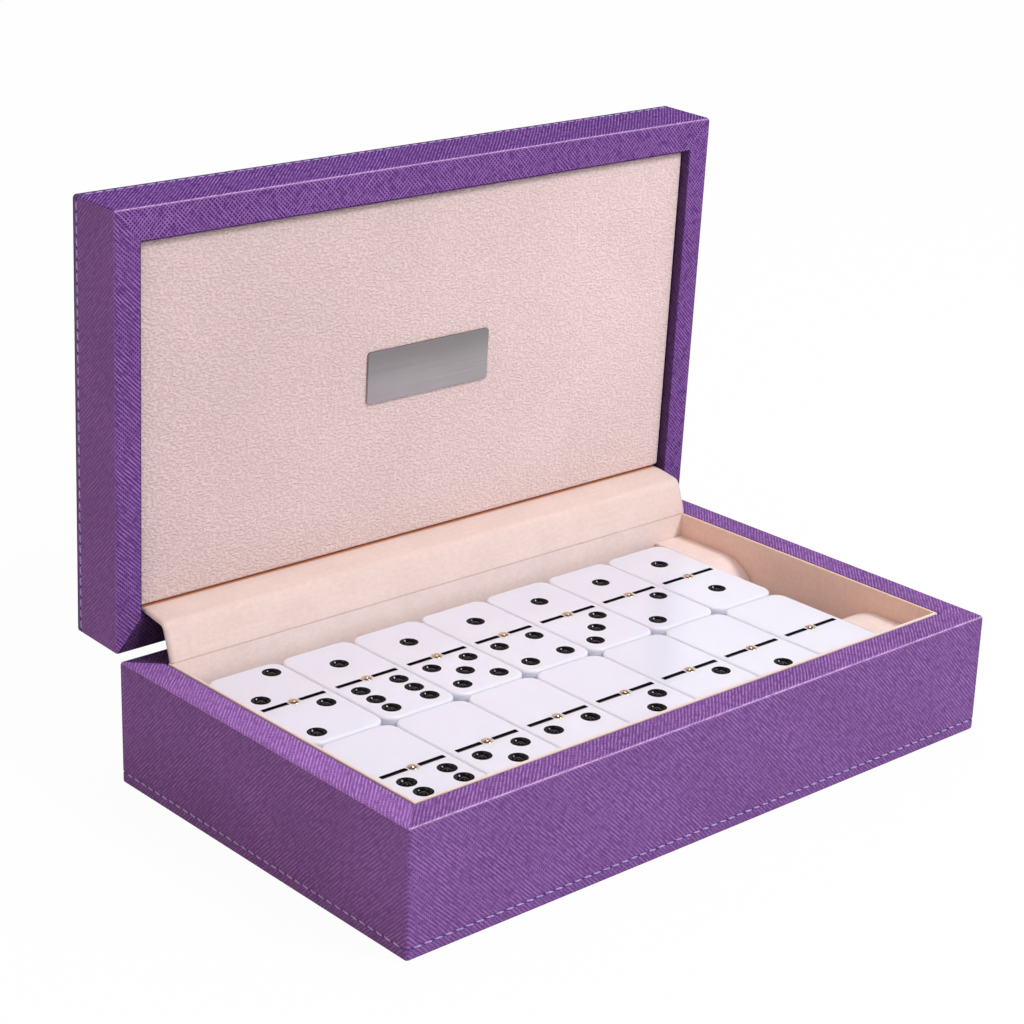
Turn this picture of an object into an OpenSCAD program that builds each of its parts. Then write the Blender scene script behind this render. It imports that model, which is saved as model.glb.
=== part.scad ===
// Domino storage box: a leather-covered wooden case with a hinged lid, holding a
// double-six set of dominoes in two layers of two rows. The origin is the middle of
// the underside, +X runs along the front, +Y to the hinge and +Z up. The lid stands
// open on its hinge stop.

/* [Dominoes] */
// Length of one domino
tile_l = 50.8; // [42:0.1:62]
// Width of one domino
tile_w = 25.4; // [21:0.1:31]
// Thickness of one domino
tile_t = 12.7; // [10:0.1:16]
// Radius of a domino's corners, seen from above
tile_corner_r = 4.2; // [1.5:0.1:6]
// Rounding of a domino's long edges
tile_edge_r = 0.8; // [0.4:0.1:3]
// Diameter of a pip
pip_d = 5.6; // [3:0.1:6.2]
// Depth of a pip
pip_depth = 1.1; // [0.5:0.1:1.8]
// Distance between neighbouring pips
pip_pitch = 6.8; // [5.6:0.1:7.2]
// Length of the engraved centre line
line_l = 21.6; // [12:0.1:24]
// Width of the engraved centre line
line_w = 1.7; // [0.6:0.1:2.2]
// Depth of the engraved centre line
line_depth = 0.4; // [0.2:0.1:0.8]
// Diameter of the brass spinner's head
spinner_d = 3.2; // [2:0.1:4]
// Height of the spinner's dome above the domino
spinner_rise = 0.6; // [0.2:0.05:1]

/* [How the dominoes lie] */
// Gap between dominoes side by side
tile_gap = 0.25; // [0.1:0.05:1]
// Gap between the front row and the rear row
row_gap = 0.9; // [0.3:0.1:3]
// Gap in front of the front row
front_gap = 0.2; // [0.2:0.1:2]
// Gap behind the rear row
rear_gap = 2.7; // [2:0.1:5]
// Thickness of the left pads
left_pad_t = 7.4; // [5:0.1:14]
// Thickness of the right pads
right_pad_t = 12.1; // [5:0.1:18]
// Gap between a pad and the dominoes beside it
pad_gap = 0.3; // [0.2:0.1:1]
// Finger space between the two pads of one side
finger_space = 35; // [20:1:50]
// How far the pads stay below the upper dominoes' tops
pad_drop = 0.4; // [0:0.1:3]
// Rounding of a pad's top towards the finger space
pad_end_r = 15; // [4:0.5:18]
// Rounding of a pad's other top edges
pad_edge_r = 2.4; // [0.5:0.1:2.5]

/* [Case] */
// Headroom from the upper dominoes to the base's rim
headroom = 6.75; // [4:0.05:15]
// Height of the lid
lid_h = 20; // [16:0.5:32]
// Angle that the lid is open
lid_open = 88; // [70:1:95]
// Thickness of the wall boards
board_t = 8; // [6:0.5:12]
// Thickness of the lid's left and right boards
lid_side_t = 6.9; // [5:0.1:12]
// Thickness of the base's floor board
floor_board_t = 2.3; // [2:0.1:5]
// Thickness of the lid's top board
lid_board_t = 4; // [2.5:0.1:5]
// Depth of the rebates that the boards fit in
rebate = 4; // [2:0.1:5]
// Thickness of the leather cover
cover_t = 0.9; // [0.6:0.1:1.5]
// Width of the leather hem under the base
hem_w = 13; // [10:0.5:20]
// Rounding of the case's upright corners
corner_r = 1; // [0.8:0.1:4]
// Rounding of the rims' outer edges
rim_outer_r = 1.0; // [0.7:0.1:2.4]
// Rounding of the rims' inner edges
rim_inner_r = 0.6; // [0.4:0.1:2]
// Rounding of the case's outer edges at the underside and the lid's top
outer_edge_r = 0.8; // [0.3:0.1:0.9]

/* [Lining] */
// Thickness of the suede lining and of the flap over the hinges
lining_t = 1.0; // [0.5:0.1:1.5]
// How far the wall linings stand above the base's rim
lining_rise = 0.2; // [0:0.05:0.3]
// Depth of the lid's recess, from its rim to the panel
lid_recess = 2.5; // [1.5:0.1:5]
// Thickness of the panel's padding
panel_pad_t = 2; // [1.5:0.1:4]
// Thickness of the card behind the padding
panel_card_t = 1.5; // [1:0.1:3]
// Gap round the panel
panel_gap = 0.3; // [0.2:0.1:1]
// Width of the slot for the flap, at the panel's hinge edge
flap_slot = 1.4; // [1.2:0.1:2.5]
// How far the flap's fold lies behind the base's inner edge
fold_inset = 2.9; // [1:0.1:4]
// How far the flap's fold lies below the flap's lid end
fold_drop = 1.3; // [0.5:0.1:3]

/* [Nameplate] */
// Length of the plate
plate_w = 46; // [30:1:80]
// Height of the plate
plate_h = 16; // [10:0.5:30]
// Thickness of the plate
plate_t = 0.8; // [0.4:0.1:1.2]
// Radius of the plate's corners
plate_corner_r = 1; // [0.4:0.1:3]
// Distance from the lid's middle to the plate's middle, towards the lid's front edge
plate_shift = 0.9; // [0:0.1:10]

/* [Hinges] */
// Length of one hinge
hinge_l = 26; // [18:1:40]
// Distance from the case's end to the hinge
hinge_inset = 34; // [20:1:50]
// Depth of a hinge leaf on the rim
leaf_depth = 7.2; // [6.5:0.1:7.5]
// Outer radius of the knuckles
knuckle_r = 1.6; // [1.4:0.1:2]
// Radius of the hinge pin
pin_r = 0.8; // [0.6:0.05:1]
// Distance from the case's rear face to the hinge axis
axis_back = 1.1; // [1:0.1:2]
// Gap between the rims when the lid is shut
shut_gap = 0.4; // [0.2:0.1:1]
// Length of the lid's knuckle, in the middle of the hinge
lid_knuckle_l = 11; // [6:0.5:14]
// Length of a hinge screw's shank
screw_l = 7; // [4:0.5:9]
// Radius of a hinge screw's shank
screw_r = 0.9; // [0.7:0.05:1.1]
// Radius of a hinge screw's head
screw_head_r = 1.6; // [1.3:0.05:1.9]

/* [Hidden] */
$fn = 64;
eps = 0.01;
run_clear = 0.05;   // radial clearance of the pins in their knuckles
seat_clear = 0.02;  // clearance of pins and screws where they are fixed
knuckle_clear = 0.3; // end and side clearance between neighbouring knuckles and leaves
mortise_clear = 0.2; // clearance of a leaf in its window in the leather
stack_clear = 0.05; // between a spinner's dome and the domino above it

// The set as it is packed, left to right: [pips of the rear half, pips of the front half]
UPPER_REAR = [[2, 2], [1, 6], [1, 5], [1, 4], [1, 3], [1, 2], [1, 1]];
UPPER_FRONT = [[0, 6], [0, 5], [0, 4], [0, 3], [0, 2], [0, 1], [0, 0]];
LOWER_REAR = [[3, 5], [3, 4], [3, 3], [2, 6], [2, 5], [2, 4], [2, 3]];
LOWER_FRONT = [[6, 6], [5, 6], [5, 5], [4, 6], [4, 5], [4, 4], [3, 6]];
// Every row of the set with its place: [dominoes, row (0 front, 1 rear), layer (0 lower, 1 upper)]
ROWS = [[LOWER_FRONT, 0, 0], [LOWER_REAR, 1, 0], [UPPER_FRONT, 0, 1], [UPPER_REAR, 1, 1]];
columns = len(UPPER_REAR);
layers = 2;
LEFT_RIGHT = [-1, 1];

function tile_name(pips) = str("domino_", pips[0], "_", pips[1]);

// The well that the dominoes lie in
wall_t = 2 * cover_t + board_t;
well_w = columns * tile_w + (columns - 1) * tile_gap + left_pad_t + right_pad_t + 2 * pad_gap;
well_d = 2 * tile_l + row_gap + front_gap + rear_gap;
floor_z = cover_t + floor_board_t + lining_t;
layer_h = tile_t + spinner_rise + stack_clear;
tiles_top = floor_z + (layers - 1) * layer_h + tile_t;

// The case's outer sizes
base_h = tiles_top + headroom;
box_w = well_w + 2 * (lining_t + wall_t);
box_d = well_d + 2 * (lining_t + wall_t);

// The space inside the leather, and the space inside the boards
inner_w = box_w - 2 * wall_t;
inner_d = box_d - 2 * wall_t;
boards_w = box_w - 2 * (cover_t + board_t);
boards_d = box_d - 2 * (cover_t + board_t);
lid_boards_w = box_w - 2 * (cover_t + lid_side_t);

// The hinge axis, level with the gap between the rims
axis_y = box_d / 2 + axis_back;
axis_z = base_h + shut_gap / 2;

// Heights in the lid, measured from its outer face towards its rim
panel_z = lid_h - lid_recess;
pad_back_z = panel_z - panel_pad_t;
card_back_z = pad_back_z - panel_card_t;

// ---------------------------------------------------------------- shared shapes

// A rectangle about the origin with round corners
module round_rect(w, d, r) {
    square([w - 2 * r, d], center = true);
    square([w, d - 2 * r], center = true);
    for (x = [-1, 1], y = [-1, 1]) translate([x * (w / 2 - r), y * (d / 2 - r)]) circle(r);
}

// An upright panel from z = 0 to h, centred on x, with its own radius below and above
module panel_outline(w, h, r_low, r_high) {
    translate([-w / 2 + r_low, 0]) square([w - 2 * r_low, h - r_high]);
    translate([-w / 2 + r_high, r_low]) square([w - 2 * r_high, h - r_low]);
    translate([-w / 2, r_low]) square([w, h - r_low - r_high]);
    for (side = [-1, 1]) {
        translate([side * (w / 2 - r_low), r_low]) circle(r_low);
        translate([side * (w / 2 - r_high), h - r_high]) circle(r_high);
    }
}

// A block on z = 0 with rounded upright, lower and upper edges
module soft_block(w, d, h, r_plan, r_low, r_high) {
    intersection() {
        linear_extrude(h) round_rect(w, d, r_plan);
        rotate([90, 0, 0]) linear_extrude(d + 2, center = true)
            panel_outline(w, h, r_low, r_high);
        rotate([90, 0, 90]) linear_extrude(w + 2, center = true)
            panel_outline(d, h, r_low, r_high);
    }
}

// Outline of a well that opens wider, in an arc of radius r, up to its mouth at z = top
module flared_outline(w, low, top, r) {
    translate([-w / 2, low]) square([w, top - low + 1]);
    difference() {
        translate([-w / 2 - r, top - r]) square([w + 2 * r, r + 1]);
        for (side = [-1, 1]) translate([side * (w / 2 + r), top - r]) circle(r);
    }
}

// The empty space of a well with a rounded mouth
module flared_well(w, d, low, top, r) {
    intersection() {
        rotate([90, 0, 0]) linear_extrude(d + 4 * r, center = true)
            flared_outline(w, low, top, r);
        rotate([90, 0, 90]) linear_extrude(w + 4 * r, center = true)
            flared_outline(d, low, top, r);
    }
}

// A box centred on x and y, from z = low to high
module centred_box(w, d, low, high) {
    translate([-w / 2, -d / 2, low]) cube([w, d, high - low]);
}

// Puts a lid piece that was drawn from its outer face inwards where the open lid stands
module on_lid() {
    translate([0, axis_y, axis_z]) rotate([-lid_open, 0, 0]) translate([0, -axis_y, -axis_z])
        translate([0, 0, base_h + shut_gap + lid_h]) mirror([0, 0, 1]) children();
}

// ------------------------------------------------------------- boards and covers

// The thin board that closes a case's outer side, let into the walls' rebates. The
// space between the case's left and right boards is gap_w wide.
module closing_board(outer_z, thickness, gap_w) {
    centred_box(gap_w + 2 * rebate, boards_d + 2 * rebate, outer_z, outer_z + thickness);
}

// A left (-1) or right (1) wall board, with tongues that reach into the long boards
module short_board(side, outer_z, thickness, h, gap_w) {
    t = (box_w - gap_w) / 2 - cover_t;
    difference() {
        translate([side * (gap_w + t) / 2, 0, 0])
            centred_box(t, boards_d + 2 * rebate, outer_z, h - cover_t);
        closing_board(outer_z, thickness, gap_w);
    }
}

// A front (-1) or rear (1) wall board, rebated at its ends for the short boards
module long_board(side, outer_z, thickness, h, gap_w) {
    t = (box_w - gap_w) / 2 - cover_t;
    difference() {
        translate([0, side * (boards_d + board_t) / 2, 0])
            centred_box(box_w - 2 * cover_t, board_t, outer_z, h - cover_t);
        closing_board(outer_z, thickness, gap_w);
        for (end = LEFT_RIGHT) translate([end * (gap_w + t) / 2, 0, 0])
            centred_box(t, boards_d + 2 * rebate, outer_z - 1, h);
    }
}

// The leather round a case's walls: outside, over the rim and down the inside
module wall_cover(outer_z, lip_z, h, gap_w) {
    difference() {
        soft_block(box_w, box_d, h, corner_r, outer_edge_r, rim_outer_r);
        flared_well(gap_w - 2 * cover_t, inner_d, lip_z, h, rim_inner_r);
        difference() {
            centred_box(box_w - 2 * cover_t, box_d - 2 * cover_t, outer_z, h - cover_t);
            centred_box(gap_w, boards_d, lip_z, h);
        }
    }
}

// Where one hinge and its knuckles need the leather cut away at the rear of a rim
module hinge_window(h) {
    at_hinges() {
        translate([0, box_d / 2 - leaf_depth / 2 + 1, 0])
            centred_box(hinge_l + 2 * mortise_clear, leaf_depth + 2 + 2 * mortise_clear,
                        h - cover_t, h + 1);
        translate([0, box_d / 2, 0])
            centred_box(hinge_l + 2 * mortise_clear, 2 * cover_t,
                        h + shut_gap / 2 - knuckle_r - mortise_clear, h + 1);
    }
}

// Repeats a piece at both hinges
module at_hinges() {
    for (side = LEFT_RIGHT)
        translate([side * (box_w / 2 - hinge_inset - hinge_l / 2), 0, 0]) children();
}

module base_front_board() color("tan") long_board(-1, cover_t, floor_board_t, base_h, boards_w);

module base_rear_board() color("tan") difference() {
    long_board(1, cover_t, floor_board_t, base_h, boards_w);
    at_screws(base_h - cover_t) pilot_hole();
}

module base_left_board() color("tan") short_board(-1, cover_t, floor_board_t, base_h, boards_w);

module base_right_board() color("tan") short_board(1, cover_t, floor_board_t, base_h, boards_w);

module base_floor_board() color("tan") closing_board(cover_t, floor_board_t, boards_w);

// The leather hem folds under the base and leaves room for the underside sheet
module base_leather_cover() color("rebeccapurple") difference() {
    wall_cover(cover_t, cover_t + floor_board_t, base_h, boards_w);
    centred_box(box_w - 2 * hem_w, box_d - 2 * hem_w, -1, cover_t + floor_board_t + eps);
    hinge_window(base_h);
}

module base_underside_sheet() color("dimgray")
    linear_extrude(cover_t) round_rect(box_w - 2 * hem_w - panel_gap,
                                       box_d - 2 * hem_w - panel_gap, corner_r);

module lid_front_board() color("tan") on_lid() long_board(-1, cover_t, lid_board_t, lid_h, lid_boards_w);

module lid_rear_board() color("tan") on_lid() difference() {
    long_board(1, cover_t, lid_board_t, lid_h, lid_boards_w);
    at_screws(lid_h - cover_t) pilot_hole();
}

module lid_left_board() color("tan") on_lid() short_board(-1, cover_t, lid_board_t, lid_h, lid_boards_w);

module lid_right_board() color("tan") on_lid() short_board(1, cover_t, lid_board_t, lid_h, lid_boards_w);

module lid_top_board() color("tan") on_lid() closing_board(cover_t, lid_board_t, lid_boards_w);

// The lid's side leather stops at the separate sheet on the lid's top
module lid_leather_cover() color("rebeccapurple") on_lid() difference() {
    wall_cover(cover_t, card_back_z, lid_h, lid_boards_w);
    centred_box(box_w + 1, box_d + 1, -1, cover_t);
    centred_box(lid_boards_w, boards_d, cover_t - 1, card_back_z + eps);
    hinge_window(lid_h);
}

module lid_top_cover() color("rebeccapurple") on_lid() intersection() {
    soft_block(box_w, box_d, lid_h, corner_r, outer_edge_r, rim_outer_r);
    centred_box(box_w + 1, box_d + 1, -1, cover_t);
}

// Foam that fills the lid between its top board and the panel
module lid_foam_core() color("lightyellow") on_lid()
    centred_box(lid_boards_w, boards_d, cover_t + lid_board_t, card_back_z);

// The panel's place inside the lid's rim, short of the flap's slot at the hinge edge
module in_lid_recess(low) {
    translate([0, (panel_gap - flap_slot) / 2, low]) children();
}

panel_w = lid_boards_w - 2 * (cover_t + panel_gap);
panel_d = inner_d - panel_gap - flap_slot;

module lid_panel_card() color("antiquewhite") on_lid() in_lid_recess(card_back_z)
    linear_extrude(panel_card_t) round_rect(panel_w, panel_d, corner_r);

module lid_panel_pad() color("mistyrose") on_lid() in_lid_recess(pad_back_z)
    soft_block(panel_w, panel_d, panel_pad_t, corner_r, panel_pad_t / 10, panel_pad_t * 0.7);

// A bare metal plate near the middle of the panel
module nameplate() color("silver") on_lid() translate([0, -plate_shift, panel_z])
    linear_extrude(plate_t) round_rect(plate_w, plate_h, plate_corner_r);

// ------------------------------------------------------------------ base lining

lining_low = cover_t + floor_board_t;
lining_top = base_h + lining_rise;

module lining_front() color("bisque") translate([0, -(inner_d - lining_t) / 2, 0])
    centred_box(inner_w, lining_t, lining_low, lining_top);

module lining_rear() color("bisque") translate([0, (inner_d - lining_t) / 2, 0])
    centred_box(inner_w, lining_t, lining_low, lining_top);

module lining_left() color("bisque") translate([-(inner_w - lining_t) / 2, 0, 0])
    centred_box(lining_t, well_d, lining_low, lining_top);

module lining_right() color("bisque") translate([(inner_w - lining_t) / 2, 0, 0])
    centred_box(lining_t, well_d, lining_low, lining_top);

module lining_floor() color("bisque") centred_box(well_w, well_d, lining_low, floor_z);

pad_l = (well_d - finger_space) / 2;
pad_h = tiles_top - pad_drop - floor_z;

// Side view of the rear pad: its front top corner curves down into the finger space
module pad_outline() {
    end_r = min(pad_end_r, pad_l - pad_edge_r, pad_h - 1);
    square([pad_l, pad_h - end_r]);
    translate([end_r, 0]) square([pad_l - end_r - pad_edge_r, pad_h]);
    translate([end_r, 0]) square([pad_l - end_r, pad_h - pad_edge_r]);
    translate([end_r, pad_h - end_r]) circle(end_r);
    translate([pad_l - pad_edge_r, pad_h - pad_edge_r]) circle(pad_edge_r);
}

// The front and rear pads of one side, t thick, on the floor lining
module pad_pair(t) {
    for (end = [0, 1]) mirror([0, end, 0]) translate([0, finger_space / 2, floor_z])
        intersection() {
            rotate([90, 0, 90]) linear_extrude(t, center = true) pad_outline();
            rotate([90, 0, 0]) translate([0, 0, -pad_l - 1]) linear_extrude(pad_l + 2)
                panel_outline(t, pad_h, pad_edge_r / 4, pad_edge_r);
        }
}

module left_pads() color("wheat") translate([-(well_w - left_pad_t) / 2, 0, 0])
    pad_pair(left_pad_t);

module right_pads() color("wheat") translate([(well_w - right_pad_t) / 2, 0, 0])
    pad_pair(right_pad_t);

// --------------------------------------------------------- flap over the hinges

// Where a point [y, z] of the shut lid goes when the lid is open
function opened(p) =
    let (y = p[0] - axis_y, z = p[1] - axis_z)
    [axis_y + y * cos(lid_open) + z * sin(lid_open),
     axis_z - y * sin(lid_open) + z * cos(lid_open)];

function mix(a, b, t) = a + (b - a) * t;
function unit(v) = v / norm(v);
// A bend from a to b that leaves a towards c and reaches b from c
function bend(a, c, b, steps) =
    [for (i = [0:steps]) let (t = i / steps) mix(mix(a, c, t), mix(c, b, t), t)];

flap_lid_y = box_d / 2 - wall_t - lining_t / 2 - 0.1;
flap_tuck = opened([flap_lid_y, base_h + shut_gap + lid_recess + panel_pad_t / 2]);
flap_exit = opened([flap_lid_y, base_h + shut_gap]);
flap_foot = [box_d / 2 - wall_t - lining_t / 2, lining_top];
flap_fold = [box_d / 2 - wall_t + fold_inset, flap_exit[1] - fold_drop];
flap_drop_in = flap_foot + [0, 1.2];
fold_r = 2.2;
FLAP_LINE = concat(
    [flap_tuck],
    bend(mix(flap_tuck, flap_exit, 0.7), flap_exit,
         mix(flap_exit, flap_fold, 0.3), 4),
    bend(flap_fold + fold_r * unit(flap_exit - flap_fold), flap_fold,
         flap_fold + fold_r * unit(flap_drop_in - flap_fold), 8),
    bend(mix(flap_fold, flap_drop_in, 0.6), flap_drop_in, flap_foot, 6));

function step_dir(line, i) =
    unit(line[min(i + 1, len(line) - 1)] - line[max(i - 1, 0)]);

// One side of a strip of thickness t along a line
function strip_side(line, t) = [for (i = [0:len(line) - 1])
    let (d = i == len(line) - 1 ? [0, -1] : step_dir(line, i)) line[i] + [-d[1], d[0]] * t / 2];

function reversed(list) = [for (i = [len(list) - 1:-1:0]) list[i]];

// A strip of the lining's cloth that leads from the lid's panel down to the rear lining
module hinge_flap() color("mistyrose")
    rotate([90, 0, 90]) linear_extrude(inner_w - 2 * panel_gap, center = true)
        polygon(concat(strip_side(FLAP_LINE, lining_t),
                       reversed(strip_side(FLAP_LINE, -lining_t))));

// --------------------------------------------------------------------- hinges

// Length of each of the two base knuckles, at the ends of the hinge
base_knuckle_l = (hinge_l - lid_knuckle_l) / 2 - knuckle_clear;

// A rod along X on the hinge axis, of radius r, from x = from to x = to
module axis_rod(r, from, to) {
    translate([from, axis_y, axis_z]) rotate([0, 90, 0]) cylinder(r = r, h = to - from);
}

// One leaf lying on the base's rim. Its knuckles stand at the spans in KNUCKLES.
module leaf(KNUCKLES) {
    top = base_h;
    front_y = box_d / 2 - leaf_depth;
    clear_y = axis_y - knuckle_r - knuckle_clear;
    difference() {
        union() {
            translate([-hinge_l / 2, front_y, top - cover_t])
                cube([hinge_l, clear_y - front_y, cover_t]);
            for (span = KNUCKLES) {
                translate([span[0], clear_y - 1, top - cover_t])
                    cube([span[1] - span[0], axis_y - clear_y + 1, cover_t]);
                axis_rod(knuckle_r, span[0], span[1]);
            }
        }
        axis_rod(pin_r + run_clear, -hinge_l, hinge_l);
        for (x = LEFT_RIGHT) translate([x * hinge_l / 4, screw_y, top - cover_t]) screw_seat();
    }
}

screw_y = box_d / 2 - leaf_depth * 0.6;
head_h = cover_t - 0.1;

// Countersunk hole through a leaf, from z = 0 up
module screw_seat() {
    translate([0, 0, -1]) cylinder(r = screw_r + seat_clear, h = cover_t + 2);
    translate([0, 0, cover_t - head_h])
        cylinder(r1 = screw_r + seat_clear, r2 = screw_head_r + seat_clear, h = head_h + eps);
}

// Repeats a screw or its hole at its four places, on a board whose top is at z = h
module at_screws(h) {
    at_hinges() for (x = LEFT_RIGHT) translate([x * hinge_l / 4, screw_y, h]) children();
}

module pilot_hole() {
    translate([0, 0, -screw_l - seat_clear]) cylinder(r = screw_r + seat_clear, h = screw_l + 1);
}

// A countersunk screw whose shank starts at z = 0 and points down
module screw() {
    translate([0, 0, cover_t - head_h]) cylinder(r1 = screw_r, r2 = screw_head_r, h = head_h);
    translate([0, 0, -screw_l + 2]) cylinder(r = screw_r, h = screw_l - 2 + cover_t - head_h);
    translate([0, 0, -screw_l]) cylinder(r1 = screw_r / 4, r2 = screw_r, h = 2);
}

module hinge_base_leaves() color("silver") at_hinges()
    leaf([[-hinge_l / 2, -hinge_l / 2 + base_knuckle_l],
          [hinge_l / 2 - base_knuckle_l, hinge_l / 2]]);

// The lid's leaf is the same shape turned over about the hinge axis, with one knuckle
module hinge_lid_leaves() color("silver") on_lid()
    translate([0, 0, lid_h - base_h]) at_hinges()
        leaf([[-lid_knuckle_l / 2, lid_knuckle_l / 2]]);

module hinge_pins() color("gainsboro") at_hinges()
    axis_rod(pin_r, -hinge_l / 2, hinge_l / 2);

module hinge_base_screws() color("silver") at_screws(base_h - cover_t) screw();

module hinge_lid_screws() color("silver") on_lid() at_screws(lid_h - cover_t) screw();

// ------------------------------------------------------------------- dominoes

// Where n pips lie on a half, about its middle
function pip_places(n) =
    let (p = pip_pitch, pair = [[p, p], [-p, -p]], corners = concat(pair, [[p, -p], [-p, p]]))
    n == 0 ? [] :
    n == 1 ? [[0, 0]] :
    n == 2 ? pair :
    n == 3 ? concat(pair, [[0, 0]]) :
    n == 4 ? corners :
    n == 5 ? concat(corners, [[0, 0]]) :
    concat(corners, [[p, 0], [-p, 0]]);

// Radius of a ball that leaves a round dish or dome of the given radius and height
function ball_r(r, h) = (r * r + h * h) / (2 * h);

spinner_r = spinner_d / 2;
spinner_seat = 0.3; // depth of the recess that the spinner's head lies in
spinner_shank_r = spinner_r * 0.6;
spinner_l = min(5, tile_t / 2);

module pip_dishes(pips) {
    r = ball_r(pip_d / 2, pip_depth);
    for (half = [0, 1], place = pip_places(pips[half]))
        translate([place[0], (half == 0 ? 1 : -1) * tile_l / 4 + place[1],
                   tile_t - pip_depth + r]) sphere(r);
}

// The centre line is broken by the spinner
module centre_line() {
    land = spinner_r + 0.35;
    for (side = LEFT_RIGHT) translate([side * (line_l / 2 + land) / 2, 0, 0])
        centred_box(line_l / 2 - land, line_w, tile_t - line_depth, tile_t + 1);
}

// The turned brass pin that a domino spins on
module spinner() {
    r = ball_r(spinner_r, spinner_rise);
    intersection() {
        translate([0, 0, tile_t - spinner_seat]) cylinder(r = spinner_r, h = 2);
        translate([0, 0, tile_t + spinner_rise - r]) sphere(r);
    }
    translate([0, 0, tile_t - spinner_l])
        cylinder(r = spinner_shank_r, h = spinner_l - spinner_seat + eps);
}

module tile_body(pips) {
    difference() {
        soft_block(tile_w, tile_l, tile_t, tile_corner_r, tile_edge_r, tile_edge_r);
        pip_dishes(pips);
        centre_line();
        translate([0, 0, tile_t - spinner_seat - seat_clear])
            cylinder(r = spinner_r + seat_clear, h = 1);
        translate([0, 0, tile_t - spinner_l - seat_clear])
            cylinder(r = spinner_shank_r + seat_clear, h = spinner_l);
    }
}

// Middle of a domino's underside, for its column, row and layer in the well
function tile_place(column, row, layer) =
    [-well_w / 2 + left_pad_t + pad_gap + tile_w / 2 + column * (tile_w + tile_gap),
     -well_d / 2 + front_gap + tile_l / 2 + row * (tile_l + row_gap),
     floor_z + layer * layer_h];

module domino(pips, place) {
    translate(place) {
        color("white") tile_body(pips);
        color("goldenrod") spinner();
    }
}

// ------------------------------------------------------------------- assembly

base_front_board();
base_rear_board();
base_left_board();
base_right_board();
base_floor_board();
base_leather_cover();
base_underside_sheet();
lining_front();
lining_rear();
lining_left();
lining_right();
lining_floor();
left_pads();
right_pads();
hinge_flap();
hinge_base_leaves();
hinge_base_screws();
hinge_pins();
hinge_lid_leaves();
hinge_lid_screws();
lid_front_board();
lid_rear_board();
lid_left_board();
lid_right_board();
lid_top_board();
lid_foam_core();
lid_leather_cover();
lid_top_cover();
lid_panel_card();
lid_panel_pad();
nameplate();
for (row = ROWS, column = [0:columns - 1])
    domino(row[0][column], tile_place(column, row[1], row[2]));
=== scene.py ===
"""Looks of a leather-covered domino box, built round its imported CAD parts.

A wooden case in cross-grained leather with a suede-lined well, a hinged lid with a padded
panel and a bare plate, and a double-six set of dominoes in two layers. Lengths are in metres
and angles in radians. Every lid piece is drawn on the shut lid, then swung open.
"""

import logging
import math
from collections.abc import Callable, Iterable, Sequence
from dataclasses import dataclass, field
from enum import Enum

import bmesh
import bpy
from mathutils import Matrix, Vector, noise


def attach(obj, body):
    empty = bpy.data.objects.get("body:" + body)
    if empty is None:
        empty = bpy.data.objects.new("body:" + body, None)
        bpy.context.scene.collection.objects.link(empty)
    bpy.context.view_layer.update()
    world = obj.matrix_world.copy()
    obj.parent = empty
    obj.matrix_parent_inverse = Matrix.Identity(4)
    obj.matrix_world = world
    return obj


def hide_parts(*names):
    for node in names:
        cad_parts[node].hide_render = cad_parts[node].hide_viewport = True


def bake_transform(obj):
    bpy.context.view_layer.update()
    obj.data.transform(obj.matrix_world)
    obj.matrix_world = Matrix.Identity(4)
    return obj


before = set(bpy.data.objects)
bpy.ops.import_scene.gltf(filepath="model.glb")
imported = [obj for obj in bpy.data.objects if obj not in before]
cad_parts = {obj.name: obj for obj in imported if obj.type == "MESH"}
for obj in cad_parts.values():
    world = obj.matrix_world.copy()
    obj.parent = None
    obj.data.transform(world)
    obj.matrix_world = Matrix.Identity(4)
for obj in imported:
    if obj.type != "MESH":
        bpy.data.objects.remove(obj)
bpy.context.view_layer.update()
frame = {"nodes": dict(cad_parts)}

LOG = logging.getLogger("domino_box")
MM = 0.001
NEAR = 1e-6  # places that lie this near count as level with each other
TINY = 1e-7  # the same where a cut or a merge has to be finer
CUT_UV = "cut"  # UV map in metres of flat leather or cloth
LEAD = "lead"  # share of the falling diagonal in the leather's grain
RELIEF = "relief"  # how strongly the leather's grain stands out
PAINTED_LIGHT = "shade"  # painted light: how much lighter or darker a strip is painted for how light falls on it, 1 for none
CHANNEL_SHADE = "channel_shade"  # how strongly the stitches' sunk channel is painted with dark blue shade
WORN_AND_HIGHLIGHT = "wear_and_highlight"  # how much an edge is rubbed light and painted with a highlight
PAINTED_COOL_CAST = "painted_cool_cast"  # how far the leather is painted with a cool, bluer cast of the light
Colour = tuple[float, float, float]
Corner = tuple[float, float, float]
Panel = tuple[Corner, Corner, tuple[float, float]]  # two corners and the flat size
Socket = bpy.types.NodeSocket
Value = float | Sequence[float] | Socket


class Side(Enum):
    """One side of the case, as the distance inwards from that side's outer face."""

    FRONT = (0.0, 1.0)
    REAR = (0.0, -1.0)
    LEFT = (1.0, 0.0)
    RIGHT = (-1.0, 0.0)

    def inward(self, place: Vector, width: float, depth: float) -> float:
        """Distance of a place from this side's outer face."""
        half = width / 2 if self.value[0] else depth / 2
        return half + place.x * self.value[0] + place.y * self.value[1]


class Pattern(Enum):
    """What a piece's pattern is laid out on."""

    CUT = "cut"
    OBJECT = "object"


# ------------------------------------------------------------------------- materials


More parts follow.
